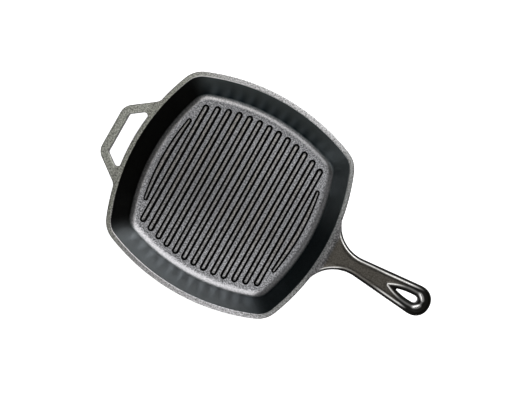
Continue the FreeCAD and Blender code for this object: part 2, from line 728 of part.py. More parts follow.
constrain(outline, "Tangent", 8, END, 9, END)
constrain(outline, "Coincident", 9, START, 10, START)
constrain(outline, "Coincident", 10, END, 11, START)
constrain(outline, "Coincident", 11, END, 0, START)
for index in (0, 5, 10):
    constrain(outline, "Horizontal", index)
for index in (4, 6, 11):
    constrain(outline, "Vertical", index)
constrain(outline, "PointOnObject", 5, START, X_AXIS)
constrain(outline, "Tangent", 1, END, 12)
constrain(outline, "Tangent", 9, START, 12)
constrain(outline, "Parallel", 2, 8)
drive(outline, loop_far, "DistanceX", 4, END, *ORIGIN_POINT)
drive(outline, size("loop_bar_width"), "DistanceX", 5, START, 5, END)
drive(outline, bar_half, "DistanceY", 4, END, 4, START)
drive(outline, size("loop_arm_width"), "Distance", 8, START, 2)
drive(outline, size("loop_flare_radius"), "Radius", 1)
drive(outline, size("loop_outer_radius"), "Radius", 3)
drive(outline, size("loop_inner_radius"), "Radius", 7)
drive(outline, size("loop_throat_radius"), "Radius", 9)
drive(outline, root_start, "DistanceX", 11, START, *ORIGIN_POINT)
slope = outline.addConstraint(Sketcher.Constraint("Angle", 8, arm_angle))
outline.setExpression(f"Constraints[{slope}]", arm_turn)
loop_blank = mirrored_pad(loop, outline, "LoopBlank", f"({RIM_HEIGHT} - {size('loop_thickness')})",
                          size("loop_thickness"))


def loop_outline_edge(edge):
    """Whether an edge is on the loop's free outline, along its top or its underside."""
    leans = lean_at(loop_blank.Shape, edge)
    outside = middle_of(edge).x < number(size("flare_bite")) - number(HALF_LENGTH)
    flat_and_upright = len(leans) == 2 and max(abs(leans[0]), abs(leans[1])) > 0.7
    return outside and flat_and_upright and min(abs(leans[0]), abs(leans[1])) < 0.3


loop_edges = edges_where(loop_blank.Shape, loop_outline_edge)
rounded(loop, "LoopRound", loop_blank, loop_edges, size("loop_edge_radius"))
loop_on_pan = doc.addObject("Part::Cut", "LoopOnPan")
loop_on_pan.Base = loop
loop_on_pan.Tool = blank
region("loop_bar", loop_on_pan, "y", f"(-1 * {bar_half})", bar_half)
region("loop_arm_left", loop_on_pan, "y", bar_half, HALF_WIDTH)
region("loop_arm_right", loop_on_pan, "y", f"(-1 * {HALF_WIDTH})", f"(-1 * {bar_half})")

doc.recompute()
for feature in doc.Objects:
    if "Invalid" in feature.State or "Error" in feature.State:
        raise RuntimeError(f"{feature.Name} failed: {feature.State}")
for feature in sub_parts:
    if feature.Shape.isNull() or not feature.Shape.isValid() or len(feature.Shape.Solids) != 1:
        raise RuntimeError(f"{feature.Label} is not one sound solid")

os.makedirs("parts", exist_ok=True)
for feature in sub_parts:
    feature.Shape.exportStep(f"parts/{feature.Label}.step")
total = sum(feature.Shape.Volume for feature in sub_parts)
print(f"{len(sub_parts)} sub-parts, {total / 1000:.0f} cubic centimetres in all")
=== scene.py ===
import math

import bpy
import numpy as np
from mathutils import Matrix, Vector
from mathutils.geometry import delaunay_2d_cdt


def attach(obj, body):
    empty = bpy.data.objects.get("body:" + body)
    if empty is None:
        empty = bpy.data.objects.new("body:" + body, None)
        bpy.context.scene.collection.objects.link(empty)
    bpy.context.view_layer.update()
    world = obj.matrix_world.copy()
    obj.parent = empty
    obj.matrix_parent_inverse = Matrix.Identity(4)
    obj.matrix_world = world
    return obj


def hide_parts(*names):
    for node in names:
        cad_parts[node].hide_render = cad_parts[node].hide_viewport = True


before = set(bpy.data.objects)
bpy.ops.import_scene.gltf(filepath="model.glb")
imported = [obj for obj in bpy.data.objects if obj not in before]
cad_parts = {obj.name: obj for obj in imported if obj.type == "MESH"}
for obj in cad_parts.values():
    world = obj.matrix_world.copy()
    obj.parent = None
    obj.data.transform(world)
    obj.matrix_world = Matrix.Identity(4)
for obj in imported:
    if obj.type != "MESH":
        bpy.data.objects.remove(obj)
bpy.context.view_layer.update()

# The pan is one iron casting poured in a sand mould: a flat floor, a wall that leans out from a
# rounded foot, and a level rim. All of it follows a square outline with bulging sides and round
# corners, so one section is swept round that outline.
MM = 0.001
PAN_HEIGHT = 50
FLOOR_LEVEL = 4
MOUTH = {"Half Length": 134.8, "Half Width": 133.8, "Side Radius": 263.8, "Corner Radius": 26.8}
WELL = {"Half Length": 118, "Half Width": 116.7, "Side Radius": 266, "Corner Radius": 27}
FOOT_RADIUS = 13
RIM_WIDTH = 6.2
RIM_INNER_ROUND = 1.5
RIM_OUTER_ROUND = 1.2
WALL_AT_BASE = 2.4
BASE_ROUND = 4
PAN_STEPS = 720
FLAT_SHARES = (0, 0.2, 0.4, 0.6, 0.8)
SETTLING_TURNS = 4
POLE_GAP = 2e-6


class Wire:
    """A socket of a node tree. Sums on it add Math nodes, and node() adds a node of any kind."""

    def __init__(self, socket):
        self.socket = socket
        self.tree = socket.id_data

    @staticmethod
    def node(tree, kind, settings=None, values=None, output=0):
        """Add a node with its settings, then its values and wires, and give one of its outputs."""
        made = tree.nodes.new(kind)
        for name, setting in (settings or {}).items():
            if name == "captures":
                for label, data_type in setting:
                    made.capture_items.new(data_type, label)
            else:
                setattr(made, name, setting)
        for key, value in (values or {}).items():
            if isinstance(value, Wire):
                tree.links.new(value.socket, made.inputs[key])
            else:
                made.inputs[key].default_value = value
        return Wire(made.outputs[output]) if made.outputs else None

    def other(self, output):
        """Another output of the same node."""
        return Wire(self.socket.node.outputs[output])

    def math(self, operation, *others):
        return Wire.node(self.tree, "ShaderNodeMath", {"operation": operation},
                         dict(enumerate((self, *others))))

    def reflected(self, operation, first):
        return Wire.node(self.tree, "ShaderNodeMath", {"operation": operation}, {0: first, 1: self})

    def __add__(self, other):
        return self.math("ADD", other)

    def __radd__(self, other):
        return self.math("ADD", other)

    def __sub__(self, other):
        return self.math("SUBTRACT", other)

    def __rsub__(self, other):
        return self.reflected("SUBTRACT", other)

    def __mul__(self, other):
        return self.math("MULTIPLY", other)

    def __rmul__(self, other):
        return self.math("MULTIPLY", other)

    def __truediv__(self, other):
        return self.math("DIVIDE", other)

    def __rtruediv__(self, other):
        return self.reflected("DIVIDE", other)

    def __lt__(self, other):
        return self.math("LESS_THAN", other)

    def __gt__(self, other):
        return self.math("GREATER_THAN", other)

    def __neg__(self):
        return self.math("MULTIPLY", -1)

    def __abs__(self):
        return self.math("ABSOLUTE")

    def part(self, axis):
        """One of the three numbers of a vector."""
        return Wire.node(self.tree, "ShaderNodeSeparateXYZ", {}, {0: self}, axis)

    def ramp(self, low, high):
        """Rises smoothly from 0 at one value to 1 at another."""
        return Wire.node(self.tree, "ShaderNodeMapRange", {"interpolation_type": "SMOOTHSTEP"},
                         {"Value": self, "From Min": low, "From Max": high})

    def between(self, low, high):
        """Rises smoothly from 0 at one place to 1 at another, in millimetres."""
        return self.ramp(low * MM, high * MM)

    def noise(self, size, detail=2):
        """Cloudy noise over a place, with features of about that size in millimetres."""
        return Wire.node(self.tree, "ShaderNodeTexNoise", {},
                         {"Vector": self, "Scale": 1 / (size * MM), "Detail": detail})

    def tint(self, first, second):
        """A colour between two others, by this share."""
        ends = [colour if isinstance(colour, Wire) else (*colour, 1) for colour in (first, second)]
        return Wire.node(self.tree, "ShaderNodeMix", {"data_type": "RGBA"},
                         {"Factor": self, 6: ends[0], 7: ends[1]}, 2)


def shape_tree(name, sizes):
    """An empty Geometry Nodes tree with a named input for each size, and wires to them."""
    tree = bpy.data.node_groups.new(name, "GeometryNodeTree")
    tree.interface.new_socket("Geometry", in_out="INPUT", socket_type="NodeSocketGeometry")
    for label in sizes:
        tree.interface.new_socket(label, in_out="INPUT", socket_type="NodeSocketFloat")
    tree.interface.new_socket("Geometry", in_out="OUTPUT", socket_type="NodeSocketGeometry")
    inlet = Wire.node(tree, "NodeGroupInput")
    return tree, inlet, {label: inlet.other(label) for label in sizes}


def section_line(name, points, label, shares):
    """An object that holds a section as a run of edges, which a tree then sweeps. A named share is
    stored at each of its points, for the material to read."""
    mesh = bpy.data.meshes.new(name)
    edges = [(index, index + 1) for index in range(len(points) - 1)]
    mesh.from_pydata(points, edges, [])
    layer = mesh.attributes.new(label, "FLOAT", "POINT")
    layer.data.foreach_set("value", shares)
    piece = bpy.data.objects.new(name, mesh)
    bpy.context.scene.collection.objects.link(piece)
    return piece


def made_solid(piece, tree, sizes):
    """Run a tree on a piece with its sizes, and keep the result as the piece's plain mesh."""
    modifier = piece.modifiers.new("shape", "NODES")
    modifier.node_group = tree
    for item in tree.interface.items_tree:
        if item.in_out == "INPUT" and item.name in sizes:
            modifier[item.identifier] = float(sizes[item.name])
    seen = piece.evaluated_get(bpy.context.evaluated_depsgraph_get())
    mesh = bpy.data.meshes.new_from_object(seen)
    piece.modifiers.remove(modifier)
    piece.data = mesh
    mesh.name = piece.name
    return piece


def sweep(tree, inlet, steps):
    """A section swept round a ring: the mesh, the step round the ring, and the section's own place."""
    line = Wire.node(tree, "GeometryNodeMeshToCurve", {}, {0: inlet})
    place = Wire.node(tree, "GeometryNodeInputPosition")
    line = Wire.node(tree, "GeometryNodeCaptureAttribute", {"captures": [("Section", "VECTOR")]},
                     {0: line, 1: place})
    ring = Wire.node(tree, "GeometryNodeCurvePrimitiveCircle", {}, {"Resolution": steps})
    index = Wire.node(tree, "GeometryNodeInputIndex")
    ring = Wire.node(tree, "GeometryNodeCaptureAttribute", {"captures": [("Step", "FLOAT")]},
                     {0: ring, 1: index})
    swept = Wire.node(tree, "GeometryNodeCurveToMesh", {}, {"Curve": ring, "Profile Curve": line})
    return swept, ring.other(1), line.other(1)


def finished_shape(tree, mesh, x, y, z, material):
    """Move a swept mesh to its place, close its poles, and give it its finish."""
    place = Wire.node(tree, "ShaderNodeCombineXYZ", {}, {0: x, 1: y, 2: z})
    mesh = Wire.node(tree, "GeometryNodeSetPosition", {}, {"Geometry": mesh, "Position": place})
    mesh = Wire.node(tree, "GeometryNodeMergeByDistance", {},
                     {"Geometry": mesh, "Distance": POLE_GAP})
    mesh = Wire.node(tree, "GeometryNodeSetShadeSmooth", {}, {"Geometry": mesh})
    mesh = Wire.node(tree, "GeometryNodeRealizeInstances", {}, {"Geometry": mesh})
    mesh = Wire.node(tree, "GeometryNodeSetMaterial", {}, {"Geometry": mesh, "Material": material})
    Wire.node(tree, "NodeGroupOutput", {}, {0: mesh})


def arc_run(centre, radius, start, end, steps):
    """Points along an arc, from one angle in degrees to another."""
    turns = np.radians(np.linspace(start, end, steps))
    return [(centre[0] + radius * math.cos(turn), centre[1] + radius * math.sin(turn)) for turn in turns]


def straight_run(start, end, steps):
    """Points on the straight way from one point to another, without those two."""
    return [tuple(point) for point in np.linspace(start, end, steps)[1:-1]]


def metres(sizes, prefix=""):
    """Sizes in metres, which the trees work in."""
    return {prefix + label: value * MM for label, value in sizes.items()}


def sand_cast(material, place, grain_size, depth, kept=1):
    """The skin that a sand mould leaves: a bump of grains, as far as wear has kept them, and the height
    of the grains themselves."""
    tree = material.node_tree
    grains = place.noise(grain_size, 3)
    dust = place.noise(grain_size / 3, 1)
    height = 0.7 * grains + 0.3 * dust
    bump = Wire.node(tree, "ShaderNodeBump", {}, {"Distance": depth * MM, "Height": (height - 0.5) * kept})
    tree.links.new(bump.socket, tree.nodes["Principled BSDF"].inputs["Normal"])
    return height


def give(material, **inputs):
    """Feed a material's shader, by the names of its inputs."""
    shader = material.node_tree.nodes["Principled BSDF"]
    for label, value in inputs.items():
        socket = shader.inputs[label.replace("_", " ")]
        if isinstance(value, Wire):
            material.node_tree.links.new(value.socket, socket)
        else:
            socket.default_value = value


def painted_light_share(place):
    """How much painted light lightens the pan's floor and the ribs' crests: most at the near end, more
    towards the handle, and a little at the far end and beside the loop."""
    across = place.part(0)
    along = place.part(1)
    near_end = (-along).between(10, 95)
    far_end = along.between(40, 100)
    to_handle = across.between(-100, 110)
    by_loop = (-across).between(45, 90)
    return 0.62 * near_end + 0.12 * far_end + 0.25 * to_handle + 0.2 * by_loop


def new_iron(name):
    """A material for bare or seasoned iron, and the object's own place in it."""
    material = bpy.data.materials.new(name)
    material.use_nodes = True
    return material, Wire.node(material.node_tree, "ShaderNodeTexCoord", output="Object")


def stored(material, label):
    """What a piece's mesh stores at its points under a label."""
    return Wire.node(material.node_tree, "ShaderNodeAttribute", {"attribute_name": label}, output="Fac")


# Heights in millimetres between which one finish of the pan turns into the next
FLOOR_TO_FOOT = (4.1, 5)
FOOT_SMOOTHED = (4.2, 5.5)
FOOT_TO_WALL = (6.6, 10.8)
FOOT_LOWER_AT_LOOP = 1
WALL_RISE = (6, PAN_HEIGHT)
NEAR_WALL_RISE = (8, 30)
WALL_TO_RIM = (49.2, 49.9)
LIP_START = (49.1, 49.5)
LIP_END = (49.9, 49.98)

# Grain of the casting, painted reflections of the ribs, and the tones of its iron from one end of a range
# to the other, many of them painted light and shade
GRAIN_SIZE = 2
GRAIN_DEPTH = 0.3
SPECKS = (0.33, 0.7)
WORN_SPECKS = (0.38, 0.66)
CLOUD_SIZE = 28
RIB_REFLECTION_PITCH = 15.6
RIB_REFLECTION_START = 6.3
RIB_REFLECTION_RISE = (10, 42)
RIB_REFLECTION_SHARE = 0.48
FAR_LIP_HIGHLIGHT_SHARE = 0.5
PAN_ROUGHNESS = 0.38
FAR_WALL_PAINTED_LIGHT = ((0.018, 0.041, 0.053), (0.19, 0.224, 0.224))
NEAR_WALL_PAINTED_LIGHT = ((0.328, 0.361, 0.371), (0.234, 0.257, 0.265))
NEAR_BASE_PAINTED_SHADE = ((0.25, 0.274, 0.28), (0.178, 0.194, 0.2))
LOOP_WALL_PAINTED_SHADE = ((0.012, 0.012, 0.01), (0.028, 0.028, 0.024))
HANDLE_WALL_PAINTED_SHADE = ((0.022, 0.036, 0.042), (0.05, 0.076, 0.09))
FAR_CORNER_PAINTED_LIGHT = (0.44, 0.51, 0.53)
FLOOR_PITS = (0.07, 0.071, 0.074)
FLOOR_PAINTED_LIGHT_TONES = ((0.25, 0.25, 0.26), (0.5, 0.5, 0.52))
FOOT_PITS = (0.19, 0.19, 0.197)
FOOT_HIGHLIGHT_TONES = ((0.45, 0.44, 0.435), (0.35, 0.348, 0.354))
NEAR_FOOT_HIGHLIGHT_TONE = (0.335, 0.328, 0.336)
LONG_RIM_PITS = (0.1, 0.099, 0.1)
NEAR_RIM_PAINTED_LIGHT = ((0.328, 0.323, 0.315), (0.67, 0.66, 0.68))
FAR_RIM_PAINTED_LIGHT = ((0.43, 0.425, 0.42), (0.5, 0.497, 0.505))
SIDE_RIM_PITS = (0.078, 0.078, 0.07)
LOOP_RIM_PAINTED_LIGHT = (0.37, 0.37, 0.325)
HANDLE_RIM_PAINTED_LIGHT = ((0.31, 0.315, 0.315), (0.235, 0.242, 0.244))
HELPER_LOOP_TONES = ((0.115, 0.116, 0.104), (0.52, 0.525, 0.465))
HANDLE_ROOT_TONES = ((0.045, 0.046, 0.046), (0.18, 0.184, 0.184))
OUTSIDE_TONES = ((0.014, 0.015, 0.016), (0.045, 0.046, 0.048))
NEAR_LIP_HIGHLIGHT_TONE = (0.29, 0.278, 0.282)
FAR_LIP_HIGHLIGHT_TONE = (0.75, 0.74, 0.74)

pan_iron, place = new_iron("seasoned_pan_iron")
across, along, height = [place.part(axis) for axis in range(3)]
outside = stored(pan_iron, "outside")
on_rim = height.between(*WALL_TO_RIM)
on_foot = height.between(*FOOT_SMOOTHED) * (1 - on_rim) * (1 - outside)
near_loop = (-across).between(60, 105)
off_floor = (height + FOOT_LOWER_AT_LOOP * MM * near_loop).between(*FOOT_TO_WALL)
kept_grain = 1 - 0.6 * on_foot - 0.25 * off_floor * on_foot
grain = sand_cast(pan_iron, place, GRAIN_SIZE, GRAIN_DEPTH, kept_grain)
specks = grain.ramp(*SPECKS)
clouds = place.noise(CLOUD_SIZE)

# The wall's tones are painted light and shade: lighter on its two long sides and darker towards their foot,
# near black beside the loop and dark beside the handle, and lighter towards the handle's far corner. Faint
# light streaks low on the far wall are painted reflections of the ribs.
reflection_turn = (across - RIB_REFLECTION_START * MM) * (2 * math.pi / (RIB_REFLECTION_PITCH * MM))
painted_rib_reflections = (0.5 + 0.5 * reflection_turn.math("COSINE")) * (1 - height.between(*RIB_REFLECTION_RISE))
far_wall = (height.between(*WALL_RISE) + RIB_REFLECTION_SHARE * painted_rib_reflections).tint(*FAR_WALL_PAINTED_LIGHT)
to_handle = across.between(-90, 60)
near_wall = to_handle.tint(*NEAR_WALL_PAINTED_LIGHT)
near_wall = height.between(*NEAR_WALL_RISE).tint(to_handle.tint(*NEAR_BASE_PAINTED_SHADE), near_wall)
long_wall = along.between(-90, 90).tint(near_wall, far_wall)
loop_wall = specks.tint(*LOOP_WALL_PAINTED_SHADE)
handle_wall = along.between(5, 85).tint(specks.tint(*HANDLE_WALL_PAINTED_SHADE), FAR_CORNER_PAINTED_LIGHT)
side_wall = across.between(-60, 60).tint(loop_wall, handle_wall)
past_corner = abs(along) - abs(across)
handle_corner = past_corner.between(-30, 70)
loop_corner = past_corner.between(-22, 28)
on_long_side = handle_corner + (-across).between(-20, 20) * (loop_corner - handle_corner)
wall_colour = (on_long_side * (0.8 + 0.4 * clouds)).tint(side_wall, long_wall)

# The floor is lightened by painted light towards the near end and the handle, and the foot is given its own
# lighter tones as a painted highlight, on top of the grains.
painted_light_floor = painted_light_share(place).tint(*FLOOR_PAINTED_LIGHT_TONES)
floor_colour = grain.ramp(*WORN_SPECKS).tint(FLOOR_PITS, painted_light_floor)
# The foot's tones, set side by side, are a painted highlight.
painted_foot_highlight = across.between(-115, 115).tint(*FOOT_HIGHLIGHT_TONES)
painted_foot_highlight = (-along).between(60, 110).tint(painted_foot_highlight, NEAR_FOOT_HIGHLIGHT_TONE)
foot_colour = specks.tint(FOOT_PITS, painted_foot_highlight)

# The rim is brightest along its two long sides and darker beside the loop and the handle, as painted light
# and shade.
along_rim = across.between(-110, 110)
long_rim = along.between(-60, 60).tint(along_rim.tint(*NEAR_RIM_PAINTED_LIGHT), along_rim.tint(*FAR_RIM_PAINTED_LIGHT))
long_rim = specks.tint(LONG_RIM_PITS, long_rim)
handle_rim = along.between(20, 80).tint(*HANDLE_RIM_PAINTED_LIGHT)
side_rim = across.between(-20, 20).tint(LOOP_RIM_PAINTED_LIGHT, handle_rim)
side_rim = specks.tint(SIDE_RIM_PITS, side_rim)
on_loop = (-across).between(139, 145)
at_handle = across.between(100, 130) * (1 - abs(along).between(28, 62))
rim_colour = on_loop.tint(handle_corner.tint(side_rim, long_rim), specks.tint(*HELPER_LOOP_TONES))
rim_colour = at_handle.tint(rim_colour, specks.tint(*HANDLE_ROOT_TONES))
# The inner round of the rim has its own tone on the near side and a lighter one on the far side, each a
# painted highlight line.
on_lip = height.between(*LIP_START) * (1 - height.between(*LIP_END)) * (1 - outside)
near_lip_highlight = on_lip * (-along).between(50, 105) * (1 - across.between(-60, 40))
far_lip_highlight = on_lip * along.between(60, 110) * (1 - across.between(-75, -15))

colour = height.between(*FLOOR_TO_FOOT).tint(floor_colour, foot_colour)
colour = ((1 - off_floor) * (1 - outside)).tint(wall_colour, colour)
colour = outside.tint(colour, specks.tint(*OUTSIDE_TONES))
colour = on_rim.tint(colour, rim_colour)
colour = near_lip_highlight.tint(colour, NEAR_LIP_HIGHLIGHT_TONE)
colour = (FAR_LIP_HIGHLIGHT_SHARE * far_lip_highlight).tint(colour, FAR_LIP_HIGHLIGHT_TONE)
give(pan_iron, Base_Color=colour, Metallic=(1 - outside).math("MAXIMUM", on_rim),
     Roughness=PAN_ROUGHNESS - 0.06 * on_foot - 0.12 * near_lip_highlight + 0.16 * (grain - 0.5))

# The section lies in three numbers for each point: how far it is outside the outline of its level,
# how far that level is from the well's outline to the mouth's, and its height. Below nought, the
# second number draws a point in to the middle of the pan.
run = (MOUTH["Half Length"] + MOUTH["Half Width"] - WELL["Half Length"] - WELL["Half Width"]) / 2
rise = PAN_HEIGHT - FLOOR_LEVEL
lean = math.degrees(math.atan2(rise, run))


def inner_side(points):
    levels = [(z - FLOOR_LEVEL) / rise for out, z in points]
    return [(out - level * run, level, z) for (out, z), level in zip(points, levels)]


def outer_side(points):
    return [(out - z / PAN_HEIGHT * run, z / PAN_HEIGHT, z) for out, z in points]


foot_reach = FOOT_RADIUS * math.tan(math.radians(lean / 2))
foot_centre = (-foot_reach, FLOOR_LEVEL + FOOT_RADIUS)
foot = arc_run(foot_centre, FOOT_RADIUS, -90, lean - 90, steps=16)
lip_reach = RIM_INNER_ROUND * math.tan(math.radians(lean / 2))
lip_centre = (run + lip_reach, PAN_HEIGHT - RIM_INNER_ROUND)
lip = arc_run(lip_centre, RIM_INNER_ROUND, 90 + lean, 90, steps=7)
wall = straight_run(foot[-1], lip[0], steps=9)

# The rim's outer round and the lean of the outer wall depend on each other, so both are settled by turns.
outer_top = run + RIM_WIDTH
for _ in range(SETTLING_TURNS):
    outer_lean = math.degrees(math.atan2(PAN_HEIGHT, outer_top - WALL_AT_BASE))
    edge_reach = RIM_OUTER_ROUND / math.tan(math.radians(outer_lean / 2))
    outer_top = run + RIM_WIDTH + edge_reach - RIM_OUTER_ROUND
edge_centre = (outer_top - edge_reach, PAN_HEIGHT - RIM_OUTER_ROUND)
edge = arc_run(edge_centre, RIM_OUTER_ROUND, 90, outer_lean - 90, steps=9)
base_reach = BASE_ROUND * math.tan(math.radians(outer_lean / 2))
base_start = WALL_AT_BASE - base_reach
base = arc_run((base_start, BASE_ROUND), BASE_ROUND, outer_lean - 90, -90, steps=8)
rim_top = straight_run(lip[-1], edge[0], steps=5)
outer_wall = straight_run(edge[-1], base[0], steps=9)
floor_flat = [(-foot_reach, share - 1, FLOOR_LEVEL) for share in FLAT_SHARES]
base_flat = [(base_start, share - 1, 0) for share in FLAT_SHARES[::-1]]
inner_run = floor_flat + inner_side(foot + wall + lip + rim_top)
outer_run = outer_side(edge + outer_wall + base) + base_flat
section = [(out * MM, level, z * MM) for out, level, z in inner_run + outer_run]
outside_share = [0.0] * len(inner_run) + [1.0] * len(outer_run)

# Each point of the ring looks for the arc of the outline that it faces: a bulging side or a round corner.
pan_sizes = {**metres(MOUTH, "Mouth "), **metres(WELL, "Well ")}
tree, inlet, size = shape_tree("pan_sweep", pan_sizes)
swept, step, spot = sweep(tree, inlet, PAN_STEPS)
turn = step * (2 * math.pi / PAN_STEPS)
level = spot.part(1).math("MAXIMUM", 0)
draw_in = 1 + spot.part(1).math("MINIMUM", 0)
half_x, half_y, side, corner = [
    size[f"Well {label}"] + level * (size[f"Mouth {label}"] - size[f"Well {label}"]) for label in MOUTH
]
inset_x = side - half_x
inset_y = side - half_y
ratio = inset_x / inset_y
shift = (inset_x * inset_x - inset_y * inset_y) / (2 * inset_y)
square = 1 + ratio * ratio
linear = 2 * (inset_x + ratio * shift)
constant = inset_x * inset_x + shift * shift - (side - corner) * (side - corner)
corner_x = ((linear * linear - 4 * square * constant).math("SQRT") - linear) / (2 * square)
corner_y = ratio * corner_x + shift
cosine = turn.math("COSINE")
sine = turn.math("SINE")
facing = abs(sine).math("ARCTAN2", abs(cosine))
on_x_side = facing < corner_y.math("ARCTAN2", corner_x + inset_x)
on_y_side = facing > (corner_y + inset_y).math("ARCTAN2", corner_x)
on_corner = 1 - on_x_side - on_y_side
reach = corner * on_corner + side * (1 - on_corner) + spot.part(0)
x = (corner_x * on_corner - inset_x * on_x_side + reach * abs(cosine)) * cosine.math("SIGN") * draw_in
y = (corner_y * on_corner - inset_y * on_y_side + reach * abs(sine)) * sine.math("SIGN") * draw_in
finished_shape(tree, swept, x, y, spot.part(2), pan_iron)
pan = made_solid(section_line("pan_body", section, "outside", outside_share), tree, pan_sizes)
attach(pan, "root")
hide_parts("pan_floor", "pan_wall", "pan_rim")

# Thirteen straight ribs stand across the floor, cast with it of the same iron. Each has a flat crest,
# steep flanks and round ends, and their ends follow an arc. A half-moon rib closes the field on
# either side.
STRAIGHT_RIBS = 13
RIB_ROW = {"Pitch": 14.39, "Longest Half": 101.8, "End Radius": 221}
MOON = {"Inner Side": 96.4, "Hollow": 2.5, "Thickness": 9.6, "Outer Radius": 305, "Half Chord": 61.6,
        "Tip Half Width": 2.6}
MOON_TIP_NARROWING = 0.2
MOON_TIP_BLEND = 1.5
RIB_LEVEL = 7.5
RIB_TOP = 3.2
RIB_FOOT = 9.1
RIB_EDGE_ROUND = 0.8
RIB_FOOT_ROUND = 0.4
RIB_SKIRT = 0.4
RIB_SKIRT_DEPTH = 0.1
RIB_ROOT_DEPTH = 0.6
RIB_END_DIP = 0.9
RIB_STEPS = 96
RIB_GRAIN_SIZE = 1.8
RIB_GRAIN_DEPTH = 0.12
RIB_ROUGHNESS = 0.55
CREST_SPECKS = (0.36, 0.68)
SEASONING_SIZE = 34
SEASONING_RANGE = (0.35, 0.65)
SEASONED_TONES = ((0.253, 0.25, 0.255), (0.265, 0.248, 0.23))
CREST_PAINTED_LIGHT_TONE = (0.5, 0.495, 0.505)
CREST_PITS = (0.085, 0.082, 0.078)
FLANK_SHADE_TONE = (0.0015, 0.0015, 0.0015)

rib_iron, place = new_iron("seasoned_rib_iron")
grain = sand_cast(rib_iron, place, RIB_GRAIN_SIZE, RIB_GRAIN_DEPTH)
on_crest = stored(rib_iron, "crest")
seasoned = place.noise(SEASONING_SIZE).ramp(*SEASONING_RANGE).tint(*SEASONED_TONES)
# The crests are lightened by the same painted light as the floor.
painted_light_crest = painted_light_share(place).tint(seasoned, CREST_PAINTED_LIGHT_TONE)
crest_colour = grain.ramp(*CREST_SPECKS).tint(CREST_PITS, painted_light_crest)
# The flanks are near black with almost no sheen, as painted shade between the crests.
colour = on_crest.tint(FLANK_SHADE_TONE, crest_colour)
give(rib_iron, Base_Color=colour, Metallic=on_crest, Specular_IOR_Level=0.04,
     Roughness=RIB_ROUGHNESS - 0.15 * on_crest + 0.14 * (grain - 0.5))

flank_lean = math.degrees(math.atan2(RIB_LEVEL - FLOOR_LEVEL, (RIB_FOOT - RIB_TOP) / 2))
crest_half = RIB_TOP / 2 - RIB_EDGE_ROUND * math.tan(math.radians(flank_lean / 2))
crest_edge = arc_run((crest_half, RIB_LEVEL - RIB_EDGE_ROUND), RIB_EDGE_ROUND, 90, 90 - flank_lean, steps=6)
toe_end = RIB_FOOT / 2 + RIB_FOOT_ROUND * math.tan(math.radians(flank_lean / 2))
toe = arc_run((toe_end, FLOOR_LEVEL + RIB_FOOT_ROUND), RIB_FOOT_ROUND, 270 - flank_lean, 270, steps=6)
crest = [(crest_half * share, RIB_LEVEL) for share in (0, 0.25, 0.5, 0.75)] + crest_edge[:-1]
root = FLOOR_LEVEL - RIB_ROOT_DEPTH
skirt = [(toe_end + RIB_SKIRT, FLOOR_LEVEL - RIB_SKIRT_DEPTH), (toe_end, root), (0, root)]
flank = crest_edge[-1:] + toe + skirt
rib_section = [(out * MM, 0, z * MM) for out, z in crest + flank]
crest_share = [1.0] * len(crest) + [0.0] * len(flank)


def rib_ring(step):
    """A ring drawn out into a long slot: its facing across and along, and its share of the length."""
    quarter = step * (4 / RIB_STEPS)
    side = quarter.math("FLOOR")
    share = quarter - side
    on_end = side.math("MODULO", 2) > 0.5
    past_end = side > 1.5
    turn = math.pi * (past_end + on_end * share)
    length = (on_end + (1 - on_end) * (2 * share - 1)) * (1 - 2 * past_end)
    return turn.math("COSINE"), turn.math("SINE") * on_end, length


def rib_height(spot, facing_y):
    """The height of a point of a rib's section, with the crest rounded down at the rib's ends."""
    over_floor = ((spot.part(2) / MM - FLOOR_LEVEL) / (RIB_LEVEL - FLOOR_LEVEL)).math("MAXIMUM", 0)
    to_end = (spot.part(0) / (crest_half * MM)).math("MINIMUM", 1) * facing_y
    return spot.part(2) - over_floor * to_end * to_end * (RIB_END_DIP * MM)


tree, inlet, size = shape_tree("straight_ribs", RIB_ROW)
swept, step, spot = sweep(tree, inlet, RIB_STEPS)
row_start = Wire.node(tree, "ShaderNodeCombineXYZ", {}, {0: -(STRAIGHT_RIBS // 2) * size["Pitch"]})
row_step = Wire.node(tree, "ShaderNodeCombineXYZ", {}, {0: size["Pitch"]})
row = Wire.node(tree, "GeometryNodeMeshLine", {},
                {"Count": STRAIGHT_RIBS, "Start Location": row_start, "Offset": row_step})
row_place = Wire.node(tree, "GeometryNodeInputPosition").part(0)
row = Wire.node(tree, "GeometryNodeCaptureAttribute", {"captures": [("Rib Place", "FLOAT")]},
                {0: row, 1: row_place})
ribs = Wire.node(tree, "GeometryNodeInstanceOnPoints", {}, {"Points": row, "Instance": swept})
ribs = Wire.node(tree, "GeometryNodeRealizeInstances", {}, {"Geometry": ribs})
rib_place = row.other(1)
sag = size["End Radius"] - (size["End Radius"] * size["End Radius"] - rib_place * rib_place).math("SQRT")
facing_x, facing_y, length = rib_ring(step)
x = rib_place + spot.part(0) * facing_x
y = length * (size["Longest Half"] - sag) + spot.part(0) * facing_y
finished_shape(tree, ribs, x, y, rib_height(spot, facing_y), rib_iron)
rib_line = section_line("straight_ribs", rib_section, "crest", crest_share)
straight_ribs = made_solid(rib_line, tree, metres(RIB_ROW))
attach(straight_ribs, "root")
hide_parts(*[f"rib_{number:02d}" for number in range(1, STRAIGHT_RIBS + 1)])

